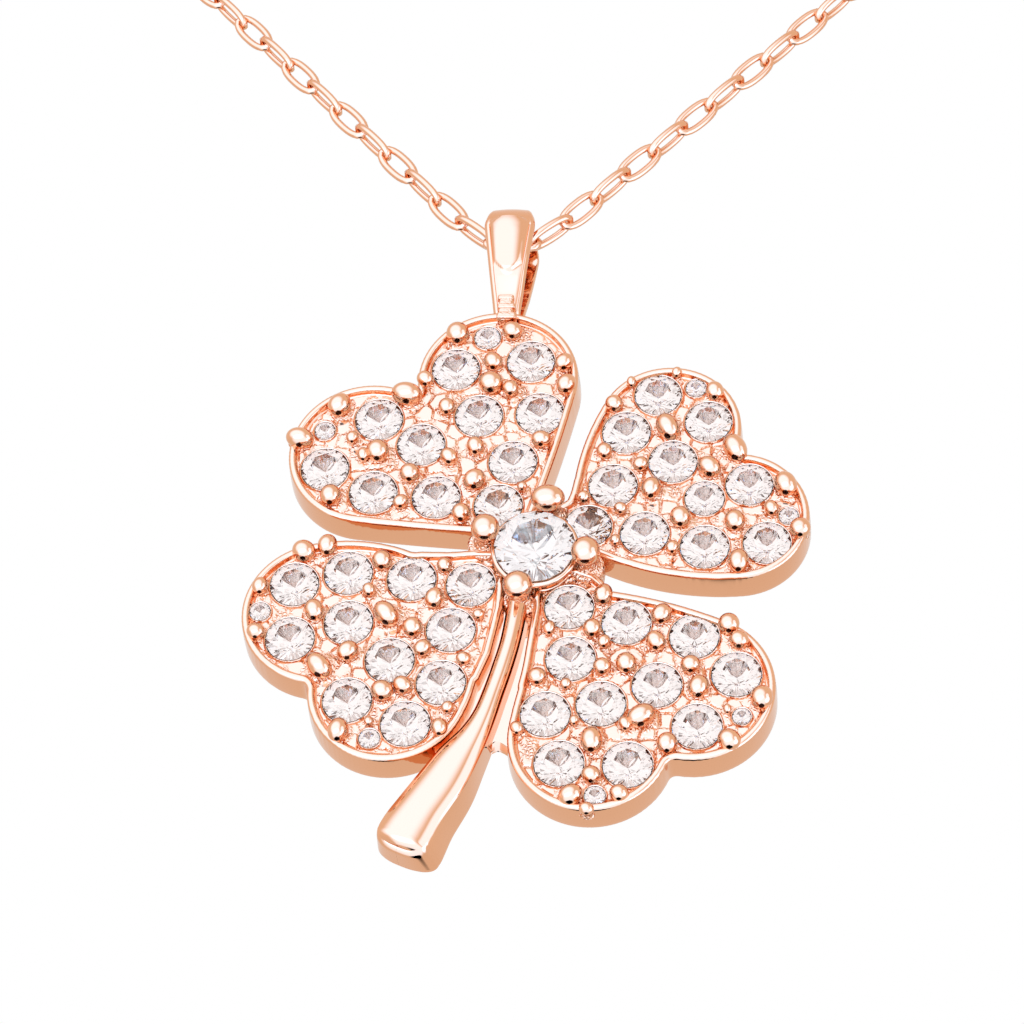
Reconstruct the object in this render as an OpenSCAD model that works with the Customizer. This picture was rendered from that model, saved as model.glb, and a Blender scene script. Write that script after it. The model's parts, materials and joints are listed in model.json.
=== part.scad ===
// Four-leaf clover pendant with pave stones, on a fine cable chain.
// The loop hangs from the nape, which is the origin; +Z is up and the pendant faces -Y.

/* [Chain] */
// Length of the whole loop, clasp included
chain_length = 450; // [380:10:600]
// Lean of the loop, from upright, away from the pendant's face
chain_lean = 8; // [0:1:20]
// Angle between each straight run of chain and the loop's middle line
chain_spread = 40.4; // [30:0.2:50]
// Radius of the bend that carries the bail
chain_bend_r = 1.8; // [1.5:0.1:3]
// Width across the chain
chain_w = 0.86; // [0.7:0.02:1]
// Clasp length
clasp_l = 9; // [7:0.5:14]
// Clasp width
clasp_w = 3.4; // [3:0.1:5]
// Clasp thickness
clasp_t = 1.6; // [1.2:0.1:2.4]

/* [Petals] */
// Thickness of the petal plates
plate_t = 1.2; // [1:0.1:2]
// Width of the raised rim
rim_w = 0.3; // [0.25:0.05:0.4]
// Depth of the stone floor below the rim
floor_depth = 0.25; // [0.15:0.05:0.35]
// Radius of the hub that joins the petals
hub_r = 1.95; // [1.8:0.05:2.2]
// Radius of the sunk floor round a petal's innermost stone
tip_floor_r = 0.9; // [0.85:0.05:1]

/* [Stones] */
// Radius of a pave stone
stone_r = 0.76; // [0.7:0.01:0.76]
// Radius of a filler stone
filler_r = 0.32; // [0.25:0.01:0.33]
// Radius of the centre stone
centre_r = 1.27; // [1.2:0.01:1.28]
// Gap between a stone and the metal
stone_gap = 0.03; // [0.02:0.01:0.05]
// Height of a pave stone's girdle above the floor
girdle_lift = 0.1; // [0.05:0.01:0.15]
// Height of the centre stone's girdle above the rim
centre_lift = 0.45; // [0.42:0.01:0.5]

/* [Setting] */
// Height of a setting bead's centre above the floor
bead_lift = 0.3; // [0.25:0.01:0.35]
// Radius of the circle that the prongs stand on
prong_ring_r = 1.62; // [1.6:0.01:1.66]
// Radius of a prong's post
prong_r = 0.3; // [0.25:0.01:0.3]
// Radius of a prong's round head
prong_head_r = 0.42; // [0.38:0.01:0.42]
// Height of a prong's head above the centre stone's girdle
prong_head_lift = 0.36; // [0.36:0.01:0.45]
// Height of the setting's rail above the rim
rail_lift = 0.24; // [0.22:0.01:0.24]
// Radius of the setting's rail, to the middle of its wire
rail_r = 1.28; // [1.28:0.01:1.3]
// Radius of the rail's wire
rail_wire_r = 0.11; // [0.1:0.01:0.12]

/* [Bail] */
// Outer radius of the bail's round top
bail_r = 1.2; // [1.15:0.01:1.3]
// Thickness of the bail's strap
bail_t = 0.32; // [0.25:0.01:0.35]
// Width of the strap at its top
bail_top_w = 1.5; // [1.3:0.05:1.6]
// Width of the strap at its foot
bail_foot_w = 0.85; // [0.7:0.05:1]
// Distance from the hinge line down to the foot
bail_drop = 3.2; // [3.1:0.05:3.3]

/* [Stem] */
// Height of the stem's ridge above its edges
stem_crown = 0.3; // [0.1:0.05:0.4]
// Depth of the stem's side walls
stem_side = 1.1; // [0.9:0.05:1.1]

/* [Hidden] */
$fn = 64;
eps = 0.01;
metal = "#e8a27c";
crystal = "#eef1f4";

// The loop: an arc round the nape, two straight runs and a small bend through the bail.
spread_rad = chain_spread * PI / 180;
nape_r = (chain_length - chain_bend_r * (PI - 2 * spread_rad) + 2 * chain_bend_r / tan(chain_spread))
    / (PI + 2 * spread_rad + 2 / tan(chain_spread));
bend_centre = nape_r + (nape_r - chain_bend_r) / sin(chain_spread);
loop_height = bend_centre + chain_bend_r;
pivot_y = -loop_height * sin(chain_lean);
pivot_z = -loop_height * cos(chain_lean);

// The clover's centre from the hinge line, and the levels across its thickness.
clover_x = 1.24;
clover_z = -12.1;
rim_y = -plate_t / 2;
floor_y = rim_y + floor_depth;
back_y = plate_t / 2;
girdle_y = floor_y - girdle_lift;
centre_girdle_y = rim_y - centre_lift;
rail_y = rim_y - rail_lift;
bead_y = floor_y - bead_lift;
stem_edge_y = rim_y + 0.1;
web_y = 0;
hub_x = 0.1;
hub_z = -0.1;
prong_turn = 76;
seat_back_r = 0.25;
side_fn = 256;
small_fn = 32;

// Lug in front of the bail's foot: width, height, front and back levels, lower end below the hinge line.
lug_w = 0.55;
lug_h = 1.05;
lug_front = 0.85;
lug_back = 0.4;
lug_foot = -3.55;

// Petals: axis angle, side offset, lobe centre along and across, lobe radius,
// angle where the side leaves the lobe, radius of the side's arc.
petal_upper_left = [125.2, -0.15, 6.10, 2.44, 2.63, 137, 55];
petal_right = [33.5, -0.42, 6.02, 1.97, 2.33, 119, 8.7];
petal_lower_right = [299.2, 0.35, 6.67, 1.77, 2.56, 127, 14.8];
petal_lower_left = [219.9, -0.73, 6.39, 1.76, 2.55, 115, 5.2];

// Stones of a petal: distance along its axis, distance across, radius.
stones_a = [[2.1, 0.1, stone_r], [3.5, 1.55, stone_r], [3.2, -1.15, stone_r], [4.8, 3.1, stone_r],
            [4.25, -2.85, stone_r], [6.45, 3.9, stone_r], [6.1, -3.7, stone_r], [7.05, 1.5, stone_r],
            [7.25, -1.55, stone_r], [5.45, 0.9, stone_r], [5.3, -1.2, stone_r],
            [7.7, 3.15, filler_r], [7.7, -3.05, filler_r + 0.1]];
stones_b = [[1.95, 0.3, stone_r - 0.02], [3.4, 1.15, stone_r], [3.3, -0.9, stone_r], [4.8, 2.6, stone_r],
            [4.6, -2.35, stone_r], [6.4, 3.25, stone_r - 0.02], [6.3, -3.3, stone_r - 0.02],
            [7.2, 1.5, stone_r - 0.02], [7, -1.2, stone_r - 0.02], [5.45, 0.85, stone_r],
            [5.55, -0.85, stone_r - 0.14], [7.55, 2.8, filler_r], [7.4, -2.85, filler_r - 0.02]];
stones_c = [[2.3, -0.25, stone_r], [3.65, 1.05, stone_r], [3.95, -1.05, stone_r], [5.1, 2.65, stone_r],
            [5.3, -2.6, stone_r], [6.9, 3.15, stone_r], [7, -3, stone_r], [7.9, 1.25, stone_r],
            [8.05, -1.2, stone_r], [6.05, 0.85, stone_r], [5.8, -0.95, stone_r],
            [8.25, 2.6, filler_r - 0.04], [8.5, -2.55, filler_r]];
stones_d = [[2.2, 0.4, stone_r], [3.65, 1.3, stone_r], [3.5, -0.95, stone_r], [5, 2.6, stone_r],
            [4.9, -2.4, stone_r], [6.7, 3.05, stone_r], [6.45, -3.15, stone_r], [7.6, 1.25, stone_r],
            [7.7, -1.65, stone_r], [5.75, 0.95, stone_r], [5.95, -0.95, stone_r],
            [7.85, 2.75, filler_r], [7.85, -3.05, filler_r]];

// Setting beads of a petal: distance along its axis, distance across, largest radius.
beads_a = [[8.3, -2.3, 0.34], [7.35, -3.8, 0.29], [6.7, -2.65, 0.28], [5.35, -4.5, 0.27], [4.6, -4.1, 0.3],
           [7.4, -0.5, 0.27], [6.05, -2.15, 0.35], [5.5, -2.55, 0.24], [7.25, 0.3, 0.4], [6.1, -0.5, 0.26],
           [8.15, 2.3, 0.35], [7.8, 4, 0.36], [6.85, 2.6, 0.19], [5.95, 2.2, 0.34], [6.1, 2.65, 0.2],
           [5.4, 4.3, 0.36], [4.65, 1.8, 0.29], [4.45, 0.45, 0.26], [4.3, -0.45, 0.27], [3.3, -2.3, 0.27],
           [3.25, 0.25, 0.32], [3.9, 2.6, 0.27], [2.45, 1.25, 0.29], [2.15, -0.85, 0.24]];
beads_b = [[5.9, 4.05, 0.3], [5, 3.65, 0.32], [7.3, 3.55, 0.3], [7.05, 2.65, 0.29], [7.93, 2.28, 0.32],
           [5.95, 1.95, 0.38], [7.3, 0.1, 0.39], [3.8, 2.3, 0.24], [4.5, 1.25, 0.27], [6.25, -0.05, 0.33],
           [4.3, 0.3, 0.31], [3.1, 0.2, 0.29], [4.5, -1.1, 0.31], [5.85, -2.15, 0.31], [7.9, -1.9, 0.39],
           [7.05, -2.4, 0.31], [7.4, -3.5, 0.35], [5.15, -3.45, 0.33], [3.7, -1.9, 0.28], [2.35, -0.7, 0.26],
           [2.35, 1.2, 0.19]];
beads_c = [[2.5, 0.85, 0.29], [4, 2.1, 0.3], [5.3, 3.75, 0.3], [5.95, 3.75, 0.27], [2.75, -1.15, 0.24],
           [3.4, 0, 0.27], [4, 0.1, 0.19], [4.75, 1.5, 0.29], [6, 2.05, 0.31], [6.8, 1.9, 0.32],
           [4.1, -2.25, 0.26], [4.75, -1.6, 0.27], [4.75, -0.35, 0.27], [5, 0.35, 0.3], [8.05, 3.4, 0.33],
           [7.9, 2.3, 0.34], [8.85, 1.85, 0.37], [8.05, 0.15, 0.41], [6.85, -0.1, 0.37], [6.85, -0.65, 0.2],
           [6, -1.95, 0.26], [6.85, -1.8, 0.35], [5.4, -3.6, 0.35], [7.9, -2.35, 0.3], [8.2, -3.2, 0.32],
           [8.85, -3, 0.36], [8.85, -1.9, 0.36]];
beads_d = [[4.85, -3.55, 0.3], [5.55, -3.85, 0.33], [7.35, -3.7, 0.3], [8.4, -2.45, 0.31], [7.6, -0.2, 0.38],
           [8.45, 2, 0.39], [7.9, 3.2, 0.31], [6, 3.9, 0.25], [4, 2.45, 0.28], [5.4, 3.5, 0.23],
           [3.85, -2, 0.29], [2.45, -0.6, 0.28], [4.8, -1.4, 0.29], [5.75, -2.05, 0.21], [7.5, -2.75, 0.21],
           [6.55, -1.9, 0.31], [4.9, -0.35, 0.37], [3.4, 0.15, 0.29], [4.55, 0.55, 0.29], [4.75, 1.35, 0.25],
           [2.7, 1.5, 0.22], [6.6, -0.05, 0.33], [6.6, 1.75, 0.31], [6, 2, 0.28], [7.55, 2.35, 0.28]];
smallest_bead = 0.12;
bead_gap = 0.05;
bead_stalk = 0.8;

// Petals with their stones and beads.
petals = [[petal_upper_left, stones_a, beads_a], [petal_right, stones_b, beads_b],
          [petal_lower_right, stones_c, beads_c], [petal_lower_left, stones_d, beads_d]];

// Roots of the two lower petals beside the stem, their stone floors, and the low web
// under the stem: [across, up].
root_left = [[0, 0.1], [-2.6, 0.02], [-2.6, -2.6], [-1.45, -4.6], [-1.11, -3.66],
             [-0.82, -2.02], [-0.79, -1], [0, -1]];
root_right = [[0, 0], [2, -0.75], [2.4, -1.15], [2.4, -3], [-0.3, -4.8], [-0.18, -4.1],
              [-0.07, -3.1], [0.05, -2], [0, -1]];
root_left_floor = [[-2.6, -0.3], [-1.5, -0.3], [-1.1, -1.4], [-1.13, -2.1], [-1.4, -3.4], [-2.6, -2.5]];
root_right_floor = [[0.55, -1.6], [1.7, -1.1], [2.3, -1.5], [2.3, -2.9], [0.1, -4.3],
                    [0.22, -3.1], [0.34, -2.1]];
web = [[-0.9, -1.6], [0.1, -1.8], [-0.25, -4.6], [-0.5, -6.2], [-0.85, -6.6], [-2.1, -6.4], [-1.2, -3.8]];

// Stem stations from the clover's centre: across, up, width.
stem_stations = [[-0.36, -1.5, 0.68], [-0.42, -2.2, 0.66], [-0.56, -3.2, 0.64], [-0.76, -4.1, 0.7],
                 [-1, -5, 0.8], [-1.24, -5.8, 0.92], [-1.49, -6.55, 1.03], [-1.87, -7.3, 1.22],
                 [-2.35, -8, 1.45], [-2.8, -8.8, 1.56], [-3.23, -9.45, 1.62], [-3.5, -9.9, 1.58],
                 [-3.66, -10.2, 1.4], [-3.75, -10.35, 1.1]];
// Stem section: across and height as shares of the width and the crown.
stem_section = [[-0.5, 0], [-0.42, 0.55], [-0.22, 0.9], [0, 1], [0.22, 0.9], [0.42, 0.55], [0.5, 0]];

// Brilliant cut, as shares of the girdle radius: [radius, height] of each ring of corners.
cut_table = [0.57, 0.31];
cut_star = [0.79, 0.18];
cut_girdle = [1, 0.02];
cut_halves = [0.24, -0.68];
cut_culet = -0.86;

// Moves its children from the hinge line to the clover's centre.
module at_pivot() {
    translate([0, pivot_y, pivot_z]) children();
}

module at_clover() {
    at_pivot() translate([clover_x, 0, clover_z]) children();
}

// Stands a flat outline up, from the level y_back towards the viewer.
module plate(y_back, thickness) {
    translate([0, y_back, 0]) rotate([90, 0, 0]) linear_extrude(thickness) children();
}

// Places its children along a petal's axis, still flat.
module on_petal(petal) {
    rotate(petal[0]) translate([0, petal[1]]) children();
}

// Petal outline, made smaller all round by inset.
module heart(petal, inset = 0) {
    lobe = [petal[2], petal[3]];
    lobe_r = petal[4];
    turn = petal[5];
    side_r = petal[6];
    side_c = lobe - (side_r - lobe_r) * [cos(turn), sin(turn)];
    side_end = lobe[0] + lobe_r * cos(turn);
    for (s = [-1, 1]) translate([lobe[0], s * lobe[1]]) circle(r = lobe_r - inset);
    intersection() {
        translate([side_c[0], side_c[1]]) circle(r = side_r - inset, $fn = side_fn);
        translate([side_c[0], -side_c[1]]) circle(r = side_r - inset, $fn = side_fn);
        translate([0, -lobe_r * 3]) square([side_end, lobe_r * 6]);
    }
    translate([side_end - eps, -lobe[1]]) square([lobe[0] - side_end + eps, 2 * lobe[1]]);
}

// One petal's plate, without its stone seats.
module petal_plate(petal) {
    plate(back_y, plate_t) on_petal(petal) heart(petal);
}

module petal_floor(petal, stones) {
    plate(floor_y, floor_depth + eps) on_petal(petal) {
        heart(petal, rim_w);
        translate([stones[0][0], stones[0][1]]) circle(r = tip_floor_r);
    }
}

// Open seat under one stone, wide at the front and narrow at the back.
module seat(r) {
    front = -rim_y + eps;
    rotate([90, 0, 0]) rotate_extrude()
        polygon([[0, -back_y - eps], [seat_back_r, -back_y - eps], [r + stone_gap, -floor_y],
                 [r + stone_gap, front], [0, front]]);
}

module petal_seats(petal, stones) {
    for (s = stones) on_petal_at(petal, s) seat(s[2]);
}

// Places solid children at a petal's [along, across] place.
module on_petal_at(petal, place) {
    rotate([0, -petal[0], 0]) translate([place[0], 0, place[1] + petal[1]])
        rotate([0, petal[0], 0]) children();
}

// Room that the stones leave a bead.
function bead_room(b, stones) = min([for (s = stones) norm([b[0] - s[0], b[1] - s[1]]) - s[2]]) - bead_gap;

// One setting bead: a round head on a slightly narrower stalk.
module bead(r) {
    rotate([90, 0, 0]) rotate_extrude($fn = small_fn) {
        translate([0, -bead_y]) intersection() {
            circle(r = r);
            translate([0, -r]) square([r, 2 * r]);
        }
        translate([0, -floor_y - eps]) square([r * bead_stalk, floor_y - bead_y + eps]);
    }
}

module petal_beads(petal, beads, stones) {
    for (b = beads) {
        r = min(b[2], bead_room(b, stones));
        if (r >= smallest_bead) on_petal_at(petal, b) bead(r);
    }
}

// Centre setting: a rail and four round-headed prongs.
module centre_setting() {
    post_top = centre_girdle_y - prong_head_lift;
    translate([hub_x, 0, hub_z]) {
        translate([0, rail_y, 0]) rotate([90, 0, 0]) rotate_extrude() translate([rail_r, 0])
            circle(r = rail_wire_r, $fn = small_fn);
        for (a = [0:90:270]) rotate([0, -prong_turn - a, 0]) translate([prong_ring_r, 0, 0]) {
            translate([0, floor_y, 0]) rotate([90, 0, 0])
                cylinder(r = prong_r, h = floor_y - post_top, $fn = small_fn);
            translate([0, post_top, 0]) sphere(r = prong_head_r, $fn = small_fn);
        }
    }
}

// Seat under the centre stone.
module centre_seat() {
    translate([hub_x, 0, hub_z]) rotate([90, 0, 0]) rotate_extrude()
        polygon([[0, -back_y - eps], [seat_back_r, -back_y - eps], [centre_r, -centre_girdle_y - eps],
                 [0, -centre_girdle_y - eps]]);
}

// Stem: a loft with a rounded front, square to its middle line at each station.
module stem() {
    n = len(stem_stations);
    m = len(stem_section) + 2;
    function heading(i) = let (a = stem_stations[max(i - 1, 0)], b = stem_stations[min(i + 1, n - 1)])
        [b[0] - a[0], b[1] - a[1]] / norm([b[0] - a[0], b[1] - a[1]]);
    function corner(s, side, along, y) = [s[0] + side[0] * along * s[2], y, s[1] + side[1] * along * s[2]];
    function ring(i) = let (s = stem_stations[i], h = heading(i), side = [-h[1], h[0]]) concat(
        [for (p = stem_section) corner(s, side, p[0], stem_edge_y - stem_crown * p[1])],
        [for (e = [0.5, -0.5]) corner(s, side, e, stem_edge_y + stem_side)]);
    points = [for (i = [0:n - 1]) each ring(i)];
    sides = [for (i = [0:n - 2]) for (j = [0:m - 1])
        each let (a = i * m + j, b = i * m + (j + 1) % m) [[a, b, b + m], [a, b + m, a + m]]];
    ends = [[for (j = [m - 1:-1:0]) j], [for (j = [0:m - 1]) (n - 1) * m + j]];
    polyhedron(points, concat(sides, ends));
}

// Outline of the bail seen from the side, shrunk by inset; x is front to back.
module bail_side(inset) {
    r = bail_r - inset;
    foot = plate_t / 2 - inset;
    drop = bail_drop - inset;
    circle(r = r);
    polygon([[-r, 0], [-foot, -drop], [foot, -drop], [r, 0]]);
}

// Bail: the side outline cut to a strap that narrows towards its foot.
module bail() {
    foot_z = -bail_drop - eps;
    intersection() {
        rotate([90, 0, 90]) translate([0, 0, -bail_top_w]) linear_extrude(2 * bail_top_w) difference() {
            bail_side(0);
            bail_side(bail_t);
        }
        rotate([90, 0, 0]) translate([0, 0, -2 * bail_r]) linear_extrude(4 * bail_r)
            polygon([[-bail_top_w / 2, bail_r + eps], [-bail_foot_w / 2, foot_z],
                     [bail_foot_w / 2, foot_z], [bail_top_w / 2, bail_r + eps]]);
    }
}

// Small lug that holds the bail's foot from the front.
module bail_lug() {
    translate([0, -lug_back, lug_foot]) rotate([90, 0, 0]) translate([-lug_w / 2, 0, 0])
        cube([lug_w, lug_h, lug_front - lug_back]);
}

module petal_stones(petal, stones) {
    color(crystal) at_clover() for (s = stones) on_petal_at(petal, s)
        translate([0, girdle_y, 0]) rotate([90, 0, 0]) brilliant(s[2]);
}

// Round brilliant of girdle radius r, table upwards, its girdle at z = 0.
module brilliant(r) {
    function ring(size, count, first) = [for (k = [0:count - 1])
        let (a = first + k * 360 / count) [size[0] * cos(a), size[0] * sin(a), size[1]]];
    half_step = 360 / 16;
    points = r * concat(ring(cut_table, 8, 0), ring(cut_star, 8, half_step), ring(cut_girdle, 16, 0),
        ring([cut_girdle[0], -cut_girdle[1]], 16, 0), ring(cut_halves, 8, half_step), [[0, 0, cut_culet]]);
    culet = 56;
    faces = concat(
        [[for (k = [7:-1:0]) k]],
        [for (k = [0:7]) [k, (k + 1) % 8, 8 + k]],
        [for (k = [0:7]) each let (left = 8 + (k + 7) % 8, right = 8 + k, tip = 16 + 2 * k)
            [[k, tip, left], [k, right, tip]]],
        [for (k = [0:7]) each let (m = 8 + k, g = 16 + 2 * k, h = 17 + 2 * k, e = 16 + (2 * k + 2) % 16)
            [[m, h, g], [m, e, h]]],
        [for (k = [0:15]) each let (a = 16 + k, b = 16 + (k + 1) % 16) [[a, b, b + 16], [a, b + 16, a + 16]]],
        [for (k = [0:7]) each let (m = 48 + k, g = 32 + 2 * k, h = 33 + 2 * k, e = 32 + (2 * k + 2) % 16)
            [[m, g, h], [m, h, e]]],
        [for (k = [0:7]) each let (left = 48 + (k + 7) % 8, right = 48 + k, tip = 32 + 2 * k)
            [[tip, culet, left], [tip, right, culet]]]);
    polyhedron(points, faces);
}

module clover() {
    color(metal) at_clover() {
        difference() {
            union() {
                for (p = petals) petal_plate(p[0]);
                plate(back_y, plate_t) {
                    translate([hub_x, hub_z]) circle(r = hub_r);
                    polygon(root_left);
                    polygon(root_right);
                }
            }
            for (p = petals) petal_floor(p[0], p[1]);
            plate(floor_y, floor_depth + eps) {
                polygon(root_left_floor);
                polygon(root_right_floor);
            }
            for (p = petals) petal_seats(p[0], p[1]);
            centre_seat();
        }
        plate(back_y, back_y - web_y) polygon(web);
        for (p = petals) petal_beads(p[0], p[2], p[1]);
        centre_setting();
        stem();
    }
    color(metal) at_pivot() {
        bail();
        bail_lug();
    }
}

module centre_stone() {
    color(crystal) at_clover() translate([hub_x, centre_girdle_y, hub_z])
        rotate([90, 0, 0]) brilliant(centre_r);
}

// Centre line of the chain in the loop's own plane: [across, up], from the clasp round to the clasp.
clasp_gap = 0.05;
clasp_angle = (clasp_l / 2 + clasp_gap) / nape_r * 180 / PI;
arc_steps = 28;
bend_steps = 8;
function nape_point(a) = [nape_r * sin(a), nape_r * (cos(a) - 1)];
function bend_point(a) = [chain_bend_r * sin(a), -bend_centre - chain_bend_r * cos(a)];
arc_end = 90 + chain_spread;
bend_end = 90 - chain_spread;
chain_half = concat(
    [for (i = [0:arc_steps]) nape_point(clasp_angle + (arc_end - clasp_angle) * i / arc_steps)],
    [for (i = [0:bend_steps / 2 - 1]) bend_point(bend_end * (1 - 2 * i / bend_steps))]);
chain_line = concat(chain_half, [[0, -loop_height]],
    [for (i = [len(chain_half) - 1:-1:0]) [-chain_half[i][0], chain_half[i][1]]]);

// Tube of eight sides swept along the chain's centre line.
module chain() {
    n = len(chain_line);
    m = 8;
    r = chain_w / 2;
    function heading(i) = let (a = chain_line[max(i - 1, 0)], b = chain_line[min(i + 1, n - 1)])
        (b - a) / norm(b - a);
    function ring(i) = let (c = chain_line[i], h = heading(i), side = [-h[1], h[0]]) [for (j = [0:m - 1])
        let (u = r * cos(j * 360 / m), v = r * sin(j * 360 / m)) [c[0] + side[0] * u, v, c[1] + side[1] * u]];
    points = [for (i = [0:n - 1]) each ring(i)];
    sides = [for (i = [0:n - 2]) for (j = [0:m - 1])
        each let (a = i * m + j, b = i * m + (j + 1) % m) [[a, b + m, b], [a, a + m, b + m]]];
    ends = [[for (j = [0:m - 1]) j], [for (j = [m - 1:-1:0]) (n - 1) * m + j]];
    color(metal) rotate([-chain_lean, 0, 0]) polyhedron(points, concat(sides, ends));
}

// Plain closed clasp with round ends, in the loop's plane.
module clasp() {
    reach = clasp_l / 2 - clasp_w / 2;
    color(metal) rotate([-chain_lean, 0, 0]) plate(clasp_t / 2, clasp_t) {
        for (s = [-1, 1]) translate([s * reach, 0]) circle(r = clasp_w / 2);
        square([2 * reach, clasp_w], center = true);
    }
}

clover();
centre_stone();
petal_stones(petal_upper_left, stones_a);  // stones_upper_left
petal_stones(petal_right, stones_b);  // stones_right
petal_stones(petal_lower_right, stones_c);  // stones_lower_right
petal_stones(petal_lower_left, stones_d);  // stones_lower_left
chain();
clasp();
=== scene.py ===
"""Four-leaf clover pendant with pave stones on a fine cable chain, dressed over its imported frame."""
import json
import math

import bpy
import numpy as np
from mathutils import Matrix


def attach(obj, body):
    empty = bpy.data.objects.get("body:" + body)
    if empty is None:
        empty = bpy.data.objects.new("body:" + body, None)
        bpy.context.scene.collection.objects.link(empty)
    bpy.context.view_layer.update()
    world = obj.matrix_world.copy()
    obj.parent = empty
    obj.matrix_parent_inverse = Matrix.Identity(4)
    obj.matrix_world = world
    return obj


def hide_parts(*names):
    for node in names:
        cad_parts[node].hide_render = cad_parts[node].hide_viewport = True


bl_info = {
    "name": "Clover pendant necklace",
    "version": (1, 0, 0),
    "blender": (4, 5, 0),
    "location": "3D View > Sidebar > Clover pendant",
    "description": "Builds the polished metal, the stones and the chain of a clover pendant necklace",
    "category": "Object",
}

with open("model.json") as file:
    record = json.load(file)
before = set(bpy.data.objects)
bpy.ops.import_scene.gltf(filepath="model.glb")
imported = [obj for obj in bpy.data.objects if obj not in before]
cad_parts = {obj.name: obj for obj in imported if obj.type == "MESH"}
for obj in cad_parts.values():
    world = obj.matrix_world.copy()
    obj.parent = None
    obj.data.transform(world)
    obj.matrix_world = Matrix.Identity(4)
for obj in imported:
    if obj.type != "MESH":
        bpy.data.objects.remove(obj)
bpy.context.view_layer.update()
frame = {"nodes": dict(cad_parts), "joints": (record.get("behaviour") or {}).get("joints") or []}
MM = 0.001

# The hinge line inside the bail, and the clover's centre from it, in millimetres.
HINGE = np.array(frame["joints"][0]["pos_m"]) / MM
CLOVER = HINGE + np.array([1.24, 0.0, -12.1])

# Levels through the pendant's thickness: -Y is the front.
RIM = -0.6
FLOOR = -0.35
BACK = 0.6
BEAD = -0.65
RAIL = -0.84
HEAD = -1.395
HUB_LEVEL = -0.3

# The hub's middle from the clover's centre, and the centre setting round it: the rail's ring and wire,
# then the prongs' angles, ring, heads, and the small shift of each from its place.
HUB = np.array([0.1, -0.1])
RAIL_RING = 1.28
RAIL_WIRE = 0.11
PRONG_ANGLES = (76, 166, 256, 346)
PRONG_RING = 1.62
PRONG_HEAD = 0.465
PRONG_SHIFT = np.array([(-0.02, -0.03), (0.03, 0.06), (-0.04, -0.03), (0.05, 0.01)])
BOSS_RING = 1.66

# The thin cut cone under the centre stone, closed: radius, level.
CENTRE_CUT = np.array([(0.235, BACK - 0.04), (0.235, 0.2), (0.86, -0.4), (0.93, -0.45), (0.97, -0.42),
                       (0.92, -0.4), (0.245, 0.21), (0.245, BACK - 0.04)])

# Petals: axis angle, side offset, lobe centre along and across, lobe radius,
# angle where the side leaves the lobe, radius of the side's arc.
PETALS = {
    "upper_left": (125.2, -0.15, 6.10, 2.44, 2.63, 137, 55),
    "right": (33.5, -0.42, 6.02, 1.97, 2.33, 119, 8.7),
    "lower_right": (299.2, 0.35, 6.67, 1.77, 2.56, 127, 14.8),
    "lower_left": (219.9, -0.73, 6.39, 1.76, 2.55, 115, 5.2),
}
# How far out a petal's middle lies and its outline reaches from there, how softly the lobes and the root
# join it, and how far the hub keeps it from its own middle.
PETAL_MIDDLE = 5.5
PETAL_REACH = 7.5
LOBE_BLEND = 0.25
ROOT_BLEND = 0.1
HUB_CLEAR = 0.95
# Points round a petal's mesh, and rings across its stone floor and its back.
EDGE_POINTS = 420
FLOOR_RINGS = 84
BACK_RINGS = 24

# Roots of three petals beside the hub and the stem: across, up.
ROOTS = {
    "right": ((0.3, 0.2), (0.35, 1.5), (0.78, 1.8), (0.97, 1.9), (1.11, 2.29), (1.18, 2.62), (1.6, 3),
              (2.6, 1.5), (2, 0.4)),
    "lower_left": ((0, 0.1), (-1.84, 0.1), (-2.65, 0.03), (-3.54, 0.05), (-4.1, -0.1), (-3.9, -1.6),
                   (-2.6, -2.6), (-1.45, -4.6), (-1.11, -3.66), (-0.82, -2.02), (-0.79, -1), (0, -1)),
    "lower_right": ((0, 0), (2, -0.75), (2.4, -1.15), (2.4, -3), (-0.3, -4.8), (-0.18, -4.1),
                    (-0.07, -3.1), (0.05, -2), (0, -1)),
}
# The low web under the stem, between the two lower petals: its outline and its middle.
WEB = ((-0.9, -1.6), (0.1, -1.8), (-0.1, -4.6), (-0.2, -6), (-0.45, -6.75), (-0.65, -6.6), (-0.84, -6.5),
       (-1.05, -6.6), (-1.3, -6.9), (-2.1, -7.1), (-2.78, -6.9), (-2.5, -6.2), (-1.2, -3.8))
WEB_MIDDLE = np.array([-0.75, -4.6])

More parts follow.
